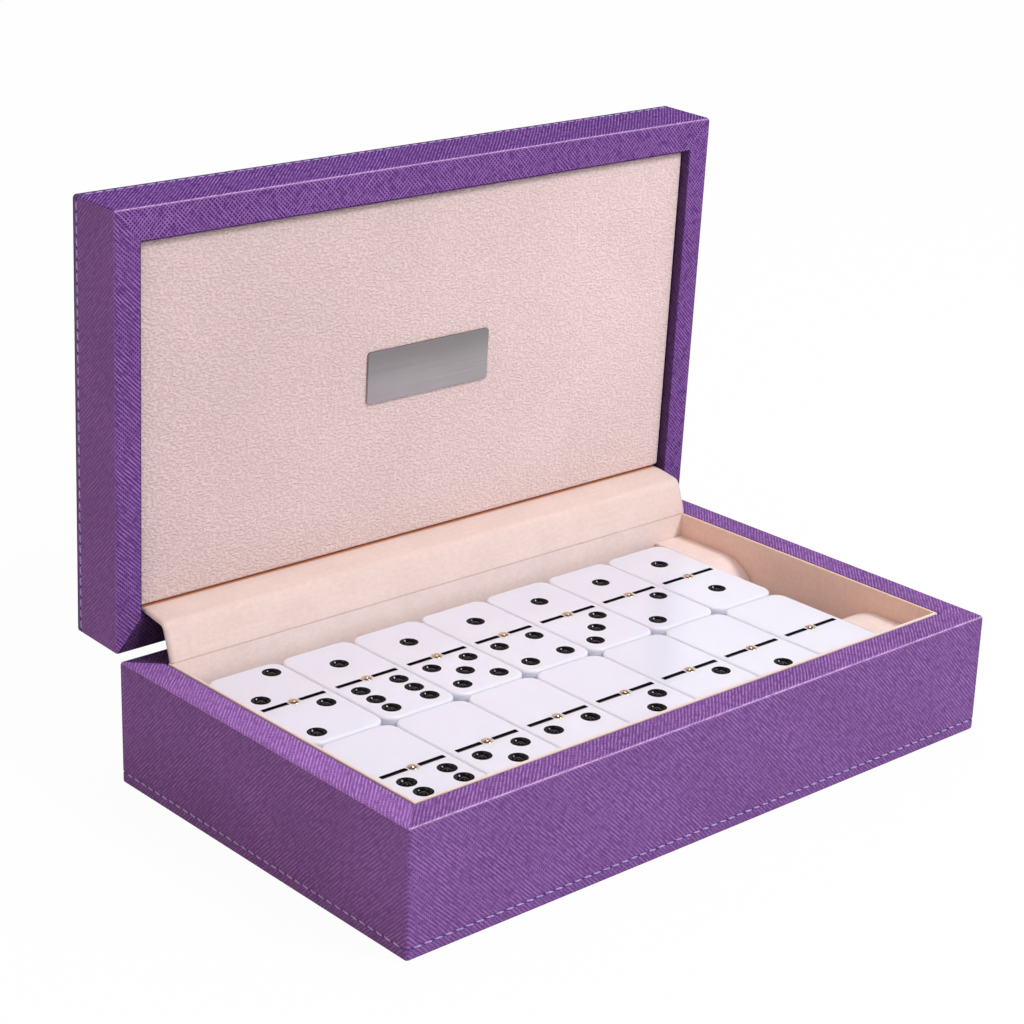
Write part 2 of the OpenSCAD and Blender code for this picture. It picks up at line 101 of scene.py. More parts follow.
class Graph:
    """The node tree of a material or of the world, built a node at a time."""

    def __init__(self, name: str, world: bool = False) -> None:
        """Starts an empty tree.

        Args:
            name: Name of the material or the world.
            world: Whether the tree is the world's.
        """
        self.owner = (bpy.data.worlds if world else bpy.data.materials).new(name)
        self.owner.use_nodes = True
        self.tree = self.owner.node_tree
        self.tree.nodes.clear()

    def put(self, socket: Socket, value: Value) -> None:
        """Links a socket to a socket's value, or sets it to a plain one.

        Args:
            socket: Input that takes the value.
            value: Another node's output, or a number, a vector or a colour.
        """
        if isinstance(value, bpy.types.NodeSocket):
            self.tree.links.new(value, socket)
        elif socket.type == "RGBA":
            socket.default_value = (*value, 1.0)[:4]
        else:
            socket.default_value = value

    def add(
        self, kind: str, inputs: dict[str | int, Value] | None = None, **settings: object
    ) -> bpy.types.Node:
        """Adds a node.

        Args:
            kind: Blender's name of the node type.
            inputs: Values or sockets by input name or number.
            **settings: The node's own properties.

        Returns:
            The new node.
        """
        node = self.tree.nodes.new(kind)
        for key, value in settings.items():
            setattr(node, key, value)
        for key, value in (inputs or {}).items():
            self.put(node.inputs[key], value)
        return node

    def math(self, operation: str, *values: Value, clamp: bool = False) -> Socket:
        """A sum on numbers, such as ADD or PINGPONG, kept from 0 to 1 if it is clamped."""
        inputs = dict(enumerate(values))
        return self.add("ShaderNodeMath", inputs, operation=operation, use_clamp=clamp).outputs[0]

    def vector(self, operation: str, *values: Value) -> Socket:
        """A sum on vectors.

        Args:
            operation: Blender's name of the sum.
            *values: What it works on. SCALE takes a vector and a number.

        Returns:
            A number for DOT_PRODUCT, and a vector for the others.
        """
        node = self.add("ShaderNodeVectorMath", operation=operation)
        keys = (0, "Scale") if operation == "SCALE" else range(len(values))
        for key, value in zip(keys, values):
            self.put(node.inputs[key], value)
        return node.outputs["Value" if operation == "DOT_PRODUCT" else 0]

    def parts(self, where: Socket) -> Sequence[Socket]:
        """The three numbers of a vector."""
        return self.add("ShaderNodeSeparateXYZ", {0: where}).outputs

    def attribute(self, name: str) -> Socket:
        """A number that the faces of the piece hold."""
        return self.add("ShaderNodeAttribute", attribute_name=name).outputs["Fac"]

    def place(self, pattern: Pattern, turn: float = 0.0) -> Socket:
        """Where a point lies, in millimetres.

        Args:
            pattern: Whether the pattern follows the flat cut or the object.
            turn: Angle that the pattern is turned about its Z axis.

        Returns:
            The place as a vector.
        """
        if pattern is Pattern.CUT:
            where = self.add("ShaderNodeUVMap", uv_map=CUT_UV).outputs["UV"]
        else:
            where = self.add("ShaderNodeTexCoord").outputs["Object"]
        mapped = self.add(
            "ShaderNodeMapping",
            {"Vector": where, "Rotation": (0, 0, turn), "Scale": (1 / MM,) * 3},
        )
        return mapped.outputs[0]

    def noise(
        self, where: Socket, cells: float, detail: float = 2.0, rough: float = 0.5
    ) -> Socket:
        """Noise from 0 to 1.

        Args:
            where: Place that it is read at.
            cells: Number of its cells to a unit of the place.
            detail: Number of finer layers laid over it.
            rough: Strength of each finer layer, as a share of the one before.

        Returns:
            The noise as a number.
        """
        node = self.add(
            "ShaderNodeTexNoise",
            {"Vector": where, "Scale": cells, "Detail": detail, "Roughness": rough},
        )
        return node.outputs[0]

    def stretch(self, where: Socket, scale: Sequence[float]) -> Socket:
        """A vector multiplied by a number of its own on each axis."""
        return self.vector("MULTIPLY", where, scale)

    def remap(
        self,
        value: Socket,
        low: Value,
        high: Value,
        to_low: Value = 0.0,
        to_high: Value = 1.0,
        *,
        shape: str = "SMOOTHSTEP",
    ) -> Socket:
        """A number carried from one range to another and clamped.

        Args:
            value: The number.
            low: Where its range starts.
            high: Where its range ends.
            to_low: What the start becomes.
            to_high: What the end becomes.
            shape: Blender's name of how it runs between them.

        Returns:
            The new number.
        """
        node = self.add(
            "ShaderNodeMapRange",
            {"Value": value, 1: low, 2: high, 3: to_low, 4: to_high},
            interpolation_type=shape,
        )
        return node.outputs[0]

    def mix(self, share: Value, low: Value, high: Value) -> Socket:
        """Two colours mixed, the first at a share of 0 and the second at 1."""
        return self.add("ShaderNodeMix", {0: share, 6: low, 7: high}, data_type="RGBA").outputs[2]

    def bump(self, height: Socket, depth: float) -> Socket:
        """A normal roughened by a height from 0 to 1 that stands for a depth in metres."""
        return self.add("ShaderNodeBump", {"Height": height, "Distance": depth}).outputs[0]

    def surface(self, **inputs: Value) -> bpy.types.Material:
        """Ends the tree in a principled shader.

        Args:
            **inputs: The shader's inputs, with _ for the spaces in their names.

        Returns:
            The finished material.
        """
        named = {key.replace("_", " "): value for key, value in inputs.items()}
        shader = self.add("ShaderNodeBsdfPrincipled", named)
        self.add("ShaderNodeOutputMaterial", {"Surface": shader.outputs[0]})
        return self.owner


@dataclass(frozen=True)
class CrossGrainLeather:
    """Coated leather embossed with fine straight ridges on both diagonals.

    Its lengths are in millimetres, apart from the depth, and cells are to a millimetre.
    """

    ridge: Colour = (0.305, 0.152, 0.415)
    groove: Colour = (0.108, 0.040, 0.180)
    darkest: Colour = (0.02, 0.004, 0.035)
    # Colour of an edge rubbed light and painted with a highlight
    wear_and_highlight: Colour = (0.68, 0.48, 0.78)
    # Colour of the painted shade in the stitches' channel
    channel_shade: Colour = (0.070, 0.048, 0.175)
    # Tint of the painted cool cast of the light
    cool_cast_tint: Colour = (0.98, 0.86, 1.12)
    pitch: float = 0.92
    wander: float = 0.42
    jitter: float = 0.17
    # Shares of the pitch: the bare foot beside a ridge, how much wider the foot is where the
    # grain is twice as bold, and the run from the foot to the crest
    foot: float = 0.08
    thinning: float = 0.10
    flank: float = 0.32
    # Cells of noise along and across a ridge
    bends: tuple[float, float] = (0.06, 0.13)
    shakes: tuple[float, float] = (0.3, 1.1)
    breaks: tuple[float, float] = (0.34, 1.3)
    # Noise at which a ridge is at its lowest and whole, and its lowest height
    broken: tuple[float, float, float] = (0.34, 0.58, 0.35)
    weak: float = 0.42
    patch_cells: float = 0.085
    patch_swing: float = 0.24
    pores: float = 0.15
    depth: float = 0.10 * MM

    def family(self, graph: Graph, where: Socket, across: int, thin: Socket) -> Socket:
        """Ridges of one diagonal, 1 on a ridge's crest and 0 in the groove beside it.

        Args:
            graph: The material's nodes.
            where: Place in millimetres, turned so that the diagonals are its axes.
            across: Axis, 0 or 1, that runs across the ridges.
            thin: Share of the pitch that a ridge's foot stands back on either side.

        Returns:
            Height of the ridge, from 0 to 1.
        """

        def uneven(cells: tuple[float, float]) -> Socket:
            """Noise with its own number of cells along and across the ridges."""
            size = [cells[axis == across] for axis in (0, 1)]
            return graph.noise(graph.stretch(where, (*size, 1.0)), 1.0, 1.0)

        line = graph.parts(where)[across]
        line = graph.math("MULTIPLY_ADD", uneven(self.bends), self.wander * 2, line)
        line = graph.math("MULTIPLY_ADD", uneven(self.shakes), self.jitter * 2, line)
        wave = graph.math("PINGPONG", graph.math("DIVIDE", line, self.pitch), 0.5)
        crest = graph.remap(wave, thin, graph.math("ADD", thin, self.flank))
        low, high, least = self.broken
        return graph.math("MULTIPLY", crest, graph.remap(uneven(self.breaks), low, high, least))

    def crest(self, graph: Graph) -> Socket:
        """Both families together, the stronger one changing from patch to patch.

        Args:
            graph: The material's nodes.

        Returns:
            Height of the grain, from 0 to 1.
        """
        turned = graph.place(Pattern.CUT, math.radians(45))
        bolder = graph.math("SUBTRACT", graph.attribute(RELIEF), 1.0)
        thin = graph.math("MULTIPLY_ADD", bolder, self.thinning, self.foot)
        patch = graph.noise(graph.place(Pattern.CUT), self.patch_cells, 1.0)
        swing = graph.remap(patch, 0.3, 0.7, -self.patch_swing, self.patch_swing)
        share = graph.math("ADD", swing, graph.attribute(LEAD), clamp=True)
        ridges = []
        for across, gain, start in ((1, 1 - self.weak, self.weak), (0, self.weak - 1, 1.0)):
            height = self.family(graph, turned, across, thin)
            strength = graph.math("MULTIPLY_ADD", share, gain, start)
            ridges.append(graph.math("MULTIPLY", height, strength))
        return graph.math("MAXIMUM", *ridges)

    def material(self) -> bpy.types.Material:
        """The leather, on a piece with a flat cut and the strips' own values.

        Returns:
            The material.
        """
        graph = Graph("cross_grain_leather")
        flat = graph.place(Pattern.CUT)
        crest = self.crest(graph)
        height = graph.math("MULTIPLY_ADD", graph.noise(flat, 2.8), self.pores, crest)
        swing = graph.math("SUBTRACT", crest, 0.5)
        share = graph.math("MULTIPLY_ADD", swing, graph.attribute(RELIEF), 0.5)
        rise = tuple(high - low for high, low in zip(self.ridge, self.groove))
        tone = graph.vector("ADD", graph.vector("SCALE", rise, share), self.groove)
        tone = graph.vector("MAXIMUM", tone, self.darkest)
        mottle = graph.remap(graph.noise(flat, 0.035, 3.0), 0.25, 0.75, 0.94, 1.06)
        # Painted light: each strip is painted lighter or darker for how light falls on it
        tone = graph.vector("SCALE", tone, graph.math("MULTIPLY", mottle, graph.attribute(PAINTED_LIGHT)))
        # Painted cool cast of the light on some strips
        cool_cast = graph.vector("MULTIPLY", tone, self.cool_cast_tint)
        tone = graph.mix(graph.attribute(PAINTED_COOL_CAST), tone, cool_cast)
        # An edge rubbed light, with a painted highlight along the rounded outer edge
        raised = graph.remap(crest, 0.0, 0.9, 0.6, 0.85)
        rub_and_lit = graph.math("MULTIPLY", graph.attribute(WORN_AND_HIGHLIGHT), raised)
        patchy = graph.remap(graph.noise(flat, 0.45), 0.32, 0.62, 0.6, 1.15)
        tone = graph.mix(graph.math("MULTIPLY", rub_and_lit, patchy), tone, self.wear_and_highlight)
        # The stitches' sunk channel is painted with dark blue shade
        return graph.surface(
            Base_Color=graph.mix(graph.attribute(CHANNEL_SHADE), tone, self.channel_shade),
            Roughness=graph.remap(crest, 0.0, 1.0, 0.68, 0.54),
            Specular_IOR_Level=0.03,
            Normal=graph.bump(height, self.depth),
        )


@dataclass(frozen=True)
class EdgePaint:
    """Dark paint on the cut edge of the lid's top leather."""

    colour: Colour = (0.030, 0.016, 0.055)
    streak_shade: float = 0.6
    depth: float = 0.05 * MM

    def material(self) -> bpy.types.Material:
        """The paint, a little streaky.

        Returns:
            The material.
        """
        graph = Graph("edge_paint")
        streak = graph.noise(graph.place(Pattern.OBJECT), 0.9, 3.0)
        dark = tuple(self.streak_shade * c for c in self.colour)
        return graph.surface(
            Base_Color=graph.mix(streak, dark, self.colour),
            Roughness=graph.remap(streak, 0.3, 0.7, 0.4, 0.6),
            Specular_IOR_Level=0.12,
            Normal=graph.bump(streak, self.depth),
        )


@dataclass(frozen=True)
class Suede:
    """Cream suede cloth with a short nap, brushed unevenly.

    A painted shade of light bounced in a crevice lies along the cut's first millimetres, as far as
    its reach.
    """

    light: Colour = (0.84, 0.69, 0.645)
    dark: Colour = (0.74, 0.58, 0.53)
    pattern: Pattern = Pattern.OBJECT
    name: str = "cream_suede"
    streaks: float = 0.0
    # Painted shade in a crevice: how far it reaches, its colour and its soft edge
    crevice_shade_reach: float = 0.0
    crevice_shade: Colour = (0.62, 0.24, 0.10)
    crevice_shade_edge: float = 0.5
    # How much of the change from dark to light is in the nap, the flecks and the fibres
    nap_share: float = 0.3
    fleck_share: float = 0.38
    fibre_share: float = 0.32
    depth: float = 0.10 * MM

    def material(self) -> bpy.types.Material:
        """The suede.

        Returns:
            The material.
        """
        graph = Graph(self.name)
        where = graph.place(self.pattern)
        fibres = graph.noise(graph.stretch(where, (1.0, 1.6, 1.3)), 2.0, 4.0, 0.7)
        flecks = graph.noise(graph.stretch(where, (0.55, 1.0, 0.8)), 0.9, 2.0, 0.6)
        nap = graph.noise(where, 0.07, 3.0)
        streak = graph.noise(graph.stretch(where, (0.012, 0.6, 0.6)), 1.0)
        share = graph.math("MULTIPLY", graph.remap(nap, 0.3, 0.7), self.nap_share)
        for layer, gain in (
            (graph.remap(flecks, 0.3, 0.7), self.fleck_share),
            (graph.remap(fibres, 0.32, 0.68), self.fibre_share),
            (graph.math("SUBTRACT", streak, 0.5), self.streaks),
        ):
            share = graph.math("MULTIPLY_ADD", layer, gain, share)
        tone = graph.mix(share, self.dark, self.light)
        # Painted shade of light bounced in the crevice, along the cut's start
        if self.crevice_shade_reach:
            along = graph.parts(where)[1]
            reach = graph.remap(along, self.crevice_shade_reach, self.crevice_shade_reach + self.crevice_shade_edge, 1.0, 0.0)
            tone = graph.mix(reach, tone, self.crevice_shade)
        return graph.surface(
            Base_Color=tone,
            Roughness=graph.remap(fibres, 0.3, 0.7, 0.95, 0.8),
            Specular_IOR_Level=0.15,
            Sheen_Weight=0.22,
            Sheen_Roughness=0.45,
            Sheen_Tint=(1.0, 0.93, 0.9, 1.0),
            Normal=graph.bump(fibres, self.depth),
        )


CREAM_SUEDE = Suede((0.875, 0.742, 0.70), (0.775, 0.63, 0.585))
# A warmer copy of the cream suede, painted with the orange light bounced onto the shaded right wall
BOUNCE_LIT_SUEDE = Suede((0.87, 0.64, 0.545), (0.77, 0.54, 0.445), name="bounce_lit_suede")
# The flap is painted with shade where it tucks into the dark gap under the panel
FLAP_SUEDE = Suede(pattern=Pattern.CUT, name="flap_suede", streaks=0.5, crevice_shade_reach=3.1)


@dataclass(frozen=True)
class PebbledSkin:
    """Soft cream-pink skin of the lid's panel, with a fine worm-like pebble."""

    crest: Colour = (0.762, 0.610, 0.596)
    valley: Colour = (0.672, 0.518, 0.502)
    # Painted light: the skin is painted lighter along one diagonal, for how the light falls across
    # it: millimetres either way, and shade at both ends
    painted_light_reach: float = 110.0
    painted_light_slope: tuple[float, float] = (0.93, 1.06)
    fine_share: float = 0.2
    depth: float = 0.24 * MM

    def material(self) -> bpy.types.Material:
        """The skin, on a piece with a flat cut.

        Returns:
            The material.
        """
        graph = Graph("pebbled_skin")
        where = graph.place(Pattern.CUT)
        sway = graph.add("ShaderNodeTexNoise", {"Vector": where, "Scale": 0.7, "Detail": 1.0})
        sway = graph.vector("SUBTRACT", sway.outputs["Color"], (0.5, 0.5, 0.5))
        bent = graph.vector("ADD", where, sway)
        worms = graph.noise(graph.stretch(bent, (0.95, 1.7, 1.3)), 1.0, 0.0)
        wrinkle = graph.math("MULTIPLY", graph.remap(worms, 0.25, 0.75), 1 - self.fine_share)
        fine = graph.noise(where, 2.2, 2.0, 0.55)
        height = graph.math("MULTIPLY_ADD", fine, self.fine_share, wrinkle)
        # Painted light: lighter along one diagonal
        x, y, _ = graph.parts(where)
        diagonal = graph.math("ADD", x, y)
        painted_light_slope = graph.remap(diagonal, -self.painted_light_reach, self.painted_light_reach, *self.painted_light_slope)
        cloud = graph.remap(graph.noise(where, 0.022), 0.3, 0.7, 0.975, 1.025)
        tone = graph.mix(graph.remap(height, 0.15, 0.85), self.valley, self.crest)
        return graph.surface(
            Base_Color=graph.vector("SCALE", tone, graph.math("MULTIPLY", cloud, painted_light_slope)),
            Roughness=graph.remap(height, 0.3, 0.9, 0.85, 0.68),
            Specular_IOR_Level=0.2,
            Sheen_Weight=0.15,
            Sheen_Roughness=0.5,
            Normal=graph.bump(height, self.depth),
        )


@dataclass(frozen=True)
class Acrylic:
    """Polished white acrylic with faint clouding."""

    body: Colour = (0.795, 0.81, 0.93)
    cloud: Colour = (0.775, 0.79, 0.91)
    scatter: float = 4 * MM
    depth: float = 0.10 * MM

    def material(self) -> bpy.types.Material:
        """The acrylic.

        Returns:
            The material.
        """
        graph = Graph("white_acrylic")
        where = graph.place(Pattern.OBJECT)
        clouding = graph.remap(graph.noise(where, 0.05, 3.0), 0.3, 0.7)
        rubs = graph.noise(graph.stretch(where, (0.5, 2.2, 1.0)), 1.1, 5.0, 0.7)
        return graph.surface(
            Base_Color=graph.mix(clouding, self.cloud, self.body),
            Roughness=graph.remap(rubs, 0.35, 0.75, 0.17, 0.27),
            Specular_IOR_Level=0.4,
            Coat_Weight=0.10,
            Coat_Roughness=0.30,
            Subsurface_Weight=0.5,
            Subsurface_Radius=(1.0, 1.0, 1.0),
            Subsurface_Scale=self.scatter,
            Normal=graph.bump(graph.noise(where, 0.09), self.depth),
        )


@dataclass(frozen=True)
class BlackLacquer:
    """Glossy black paint in the pips and centre lines."""

    colour: Colour = (0.004, 0.003, 0.005)
    thin: Colour = (0.012, 0.010, 0.015)
    depth: float = 0.05 * MM

    def material(self) -> bpy.types.Material:
        """The lacquer, a little uneven where the brush left it thin.

        Returns:
            The material.
        """
        graph = Graph("black_lacquer")
        flow = graph.noise(graph.place(Pattern.OBJECT), 0.8, 3.0)
        return graph.surface(
            Base_Color=graph.mix(graph.remap(flow, 0.5, 0.8), self.colour, self.thin),
            Roughness=graph.remap(flow, 0.3, 0.7, 0.06, 0.12),
            Specular_IOR_Level=0.22,
            Normal=graph.bump(flow, self.depth),
        )


@dataclass(frozen=True)
class Metal:
    """Bare metal with fine lines from brushing or turning.

    The lines are cells of noise to a millimetre on each axis. The painted dark top is a painted
    reflection of a dark ceiling: two heights in millimetres, and the shade painted from the upper
    one on.
    """

    name: str
    bright: Colour
    dull: Colour
    lines: tuple[float, float, float]
    rough: tuple[float, float]
    depth: float
    painted_dark_top: tuple[float, float, float] = (0.0, 1.0, 1.0)
    line_share: float = 0.6

    def material(self) -> bpy.types.Material:
        """The metal.

        Returns:
            The material.
        """
        graph = Graph(self.name)
        where = graph.place(Pattern.OBJECT)
        brushing = graph.noise(graph.stretch(where, self.lines), 1.0, 4.0, 0.65)
        cloud = graph.math("MULTIPLY", graph.noise(where, 0.06), 1 - self.line_share)
        share = graph.math("MULTIPLY_ADD", brushing, self.line_share, cloud)
        # Painted reflection: darker from the lower height to the upper one
        low, high, shade = self.painted_dark_top
        painted_dark_top = graph.remap(graph.parts(where)[2], low, high, 1.0, shade)
        return graph.surface(
            Base_Color=graph.vector("SCALE", graph.mix(share, self.dull, self.bright), painted_dark_top),
            Metallic=1.0,
            Roughness=graph.remap(brushing, 0.3, 0.7, *self.rough),
            Normal=graph.bump(brushing, self.depth),
        )


PLATE_STEEL = Metal(
    name="brushed_plate_steel",
    bright=(0.56, 0.53, 0.54),
    dull=(0.34, 0.32, 0.33),
    lines=(0.02, 1.7, 1.7),
    rough=(0.28, 0.50),
    depth=0.03 * MM,
    # A painted reflection of a dark ceiling darkens the plate towards its top
    painted_dark_top=(98.0, 110.7, 0.62),
)
HINGE_STEEL = Metal(
    name="plated_hinge_steel",
    bright=(0.72, 0.71, 0.69),
    dull=(0.52, 0.51, 0.50),
    lines=(0.12, 1.4, 1.4),
    rough=(0.20, 0.36),
    depth=0.015 * MM,
)
BRASS = Metal(
    name="turned_brass",
    bright=(0.92, 0.75, 0.52),
    dull=(0.56, 0.41, 0.25),
    lines=(1.6, 1.6, 0.5),
    rough=(0.14, 0.26),
    depth=0.012 * MM,
)


@dataclass(frozen=True)
class Thread:
    """Twisted thread of the stitches."""

    light: Colour = (0.56, 0.42, 0.72)
    dark: Colour = (0.30, 0.20, 0.50)
    ply_cells: float = 2.6
    depth: float = 0.08 * MM

    def material(self) -> bpy.types.Material:
        """The thread, with its plies winding round it.

        Returns:
            The material.
        """
        graph = Graph("stitch_thread")
        where = graph.place(Pattern.OBJECT)
        plies = graph.noise(graph.stretch(where, (self.ply_cells,) * 3), 1.0, 3.0)
        return graph.surface(
            Base_Color=graph.mix(graph.remap(plies, 0.35, 0.65), self.dark, self.light),
            Roughness=graph.remap(plies, 0.3, 0.7, 0.75, 0.5),
            Specular_IOR_Level=0.3,
            Sheen_Weight=0.2,
            Normal=graph.bump(plies, self.depth),
        )


@dataclass(frozen=True)
class Speckled:
    """A plain material with a fine speckle, such as fibreboard, card, foam or felt.

    Its cells are to a millimetre. The polish is how much smoother its light specks are.
    """

    name: str
    light: Colour
    dark: Colour
    cells: float
    rough: float
    depth: float
    polish: float = 0.12
    grain_share: float = 0.75

    def material(self) -> bpy.types.Material:
        """The speckled material.

        Returns:
            The material.
        """
        graph = Graph(self.name)
        where = graph.place(Pattern.OBJECT)
        grain = graph.noise(where, self.cells, 4.0, 0.7)
        patches = graph.math("MULTIPLY", graph.noise(where, 0.05), 1 - self.grain_share)
        share = graph.math("MULTIPLY_ADD", grain, self.grain_share, patches)
        return graph.surface(
            Base_Color=graph.mix(graph.remap(share, 0.35, 0.65), self.dark, self.light),
            Roughness=graph.remap(grain, 0.3, 0.7, self.rough, self.rough - self.polish),
            Specular_IOR_Level=0.2,
            Normal=graph.bump(grain, self.depth),
        )


FIBREBOARD = Speckled(
    "fibreboard", (0.52, 0.37, 0.22), (0.38, 0.25, 0.14), 1.6, 0.85, 0.08 * MM
)
CARD = Speckled("grey_card", (0.60, 0.56, 0.50), (0.48, 0.44, 0.39), 1.1, 0.9, 0.04 * MM)
FOAM = Speckled("foam", (0.78, 0.73, 0.55), (0.66, 0.60, 0.44), 0.9, 0.95, 0.2 * MM)
FELT = Speckled("charcoal_felt", (0.075, 0.070, 0.080), (0.035, 0.032, 0.040), 2.2, 0.95, 0.15 * MM)


# --------------------------------------------------------------------- mesh helpers


def bevel(
    mesh: bmesh.types.BMesh, edges: Iterable[bmesh.types.BMEdge], radius: float, segments: int
) -> None:
    """Rounds edges.

    Args:
        mesh: The mesh that the edges are in.
        edges: Edges to round.
        radius: Radius of the rounding.
        segments: Number of faces across the rounding.
    """
    bmesh.ops.bevel(
        mesh,
        geom=list(edges),
        offset=radius,
        offset_type="OFFSET",
        segments=segments,
        profile=0.5,
        affect="EDGES",
        clamp_overlap=True,
        material=-1,
    )


def block(low: Sequence[float], high: Sequence[float]) -> bmesh.types.BMesh:
    """A new mesh that is a box.

    Args:
        low: Its lowest corner.
        high: Its highest corner.

    Returns:
        The mesh.
    """
    mesh = bmesh.new()
    size = [h - l for l, h in zip(low, high)]
    middle = [(h + l) / 2 for l, h in zip(low, high)]
    place = Matrix.Translation(middle) @ Matrix.Diagonal((*size, 1.0))
    bmesh.ops.create_cube(mesh, size=1.0, matrix=place)
    return mesh


def edges_where(
    mesh: bmesh.types.BMesh, test: Callable[[Vector, Vector], bool]
) -> list[bmesh.types.BMEdge]:
    """The edges whose two ends pass a test."""
    return [e for e in mesh.edges if test(e.verts[0].co, e.verts[1].co)]


def upright_edges(mesh: bmesh.types.BMesh) -> list[bmesh.types.BMEdge]:
    """The edges that run along Z."""
    return edges_where(mesh, lambda a, b: abs(a.z - b.z) > 10 * abs((a - b).xy.length))


def level_edges(mesh: bmesh.types.BMesh, z: float) -> list[bmesh.types.BMEdge]:
    """The edges that lie at the height z."""
    return edges_where(mesh, lambda a, b: abs(a.z - z) < NEAR and abs(b.z - z) < NEAR)


def border_edges(mesh: bmesh.types.BMesh, z: float, up: float) -> list[bmesh.types.BMEdge]:
    """The edges between a level face and a steep one.

    Args:
        mesh: The mesh.
        z: Height of the level face.
        up: 1 if it faces upwards, -1 if it faces downwards.

    Returns:
        The edges round it.
    """
    return [
        e
        for e in level_edges(mesh, z)
        if len({f.normal.z * up > 0.5 for f in e.link_faces}) == 2
    ]


def slice_across(
    mesh: bmesh.types.BMesh, where: Sequence[float], normal: Sequence[float], near: float
) -> None:
    """Cuts a line of edges into a whole mesh where a plane crosses it.

    Args:
        mesh: The mesh.
        where: A point of the plane.
        normal: The plane's normal.
        near: Distance within which a vertex counts as on the plane.
    """
    geom = [*mesh.verts, *mesh.edges, *mesh.faces]
    bmesh.ops.bisect_plane(mesh, geom=geom, plane_co=where, plane_no=normal, dist=near)


def move(mesh: bmesh.types.BMesh, by: Sequence[float]) -> None:
    """Moves a whole mesh."""
    bmesh.ops.translate(mesh, verts=mesh.verts[:], vec=by)


def lay_flat(mesh: bmesh.types.BMesh) -> None:
    """Writes the flat cut of a level sheet, which is its own X and Y."""
    cut = mesh.loops.layers.uv.new(CUT_UV)
    for face in mesh.faces:
        for loop in face.loops:
            loop[cut].uv = loop.vert.co.xy


def set_shading(mesh: bmesh.types.BMesh, crease: float = math.radians(32)) -> None:
    """Shades a mesh smooth, with sharp edges where its faces turn by more than the crease."""
    for face in mesh.faces:
        face.smooth = True
    for edge in mesh.edges:
        edge.smooth = edge.calc_face_angle(0.0) < crease


def link(name: str, data: bpy.types.ID) -> bpy.types.Object:
    """Puts a new object in the scene, at the origin.

    Args:
        name: Name of the object.
        data: Its mesh, lamp or camera.

    Returns:
        The object.
    """
    made = bpy.data.objects.new(name, data)
    bpy.context.scene.collection.objects.link(made)
    return made


def mesh_object(
    name: str, mesh: bmesh.types.BMesh, finishes: Iterable[bpy.types.Material]
) -> bpy.types.Object:
    """A new object in the scene from a mesh.

    Args:
        name: Name of the object.
        mesh: Its mesh, freed here.
        finishes: Materials by index.

    Returns:
        The object.
    """
    data = bpy.data.meshes.new(name)
    mesh.to_mesh(data)
    mesh.free()
    for finish in finishes:
        data.materials.append(finish)
    return link(name, data)


def piece(
    name: str,
    mesh: bmesh.types.BMesh,
    body: str,
    finishes: Sequence[bpy.types.Material],
    *,
    stands_for: Sequence[str] = (),
    weighted: bool = True,
    ride: bool = True,
) -> bpy.types.Object:
    """Makes a shown piece from a mesh and lets it ride on its body.

    Args:
        name: Name of the piece.
        mesh: Its mesh, freed here.
        body: CAD body that it rides on.
        finishes: Materials by index.
        stands_for: CAD nodes that it replaces.
        weighted: Whether large faces keep their own flat shading.
        ride: Whether it rides on its body.

    Returns:
        The new object.
    """
    set_shading(mesh)
    made = mesh_object(name, mesh, finishes)
    if weighted:
        made.modifiers.new("weighted", "WEIGHTED_NORMAL").keep_sharp = True
    if ride:
        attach(made, body)
    if stands_for:
        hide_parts(*stands_for)
    LOG.info("%s: %d faces", name, len(made.data.polygons))
    return made


def solidify(made: bpy.types.Object, thickness: float, offset: float) -> None:
    """Gives a sheet its thickness, before its other modifiers.

    Args:
        made: The sheet.
        thickness: Its thickness.
        offset: -1 to grow inwards from the mesh, 0 to both sides of it.
    """
    wall = made.modifiers.new("thickness", "SOLIDIFY")
    wall.thickness = thickness
    wall.offset = offset
    wall.use_even_offset = False
    made.modifiers.move(len(made.modifiers) - 1, 0)


def spun(profile: Sequence[tuple[float, float]], steps: int) -> bmesh.types.BMesh:
    """A closed turned shape about Z.

    Args:
        profile: Radius and height along the shape's outline, from axis to axis.
        steps: Number of faces round it.

    Returns:
        The mesh, with its faces pointing outwards.
    """
    mesh = bmesh.new()
    line = [mesh.verts.new((r, 0.0, z)) for r, z in profile]
    edges = [mesh.edges.new(pair) for pair in zip(line, line[1:])]
    bmesh.ops.spin(
        mesh,
        geom=[*line, *edges],
        cent=(0, 0, 0),
        axis=(0, 0, 1),
        angle=math.tau,
        steps=steps,
        use_merge=True,
    )
    bmesh.ops.remove_doubles(mesh, verts=mesh.verts[:], dist=TINY)
    bmesh.ops.recalc_face_normals(mesh, faces=mesh.faces[:])
    return mesh


def join(into: bmesh.types.BMesh, part: bmesh.types.BMesh, place: Matrix, index: int) -> None:
    """Adds a copy of one mesh to another.

    Args:
        into: Mesh that takes the copy.
        part: Mesh to copy.
        place: Where the copy goes.
        index: Material index of the copy's faces.
    """
    scratch = bpy.data.meshes.new("scratch")
    part.to_mesh(scratch)
    scratch.transform(place)
    known = len(into.faces)
    into.from_mesh(scratch)
    into.faces.ensure_lookup_table()
    for face in into.faces[known:]:
        face.material_index = index
    bpy.data.meshes.remove(scratch)


def ball_radius(radius: float, height: float) -> float:
    """Radius of a ball whose cap has the given radius and height."""
    return (radius * radius + height * height) / (2 * height)


# ----------------------------------------------------------------------- the case


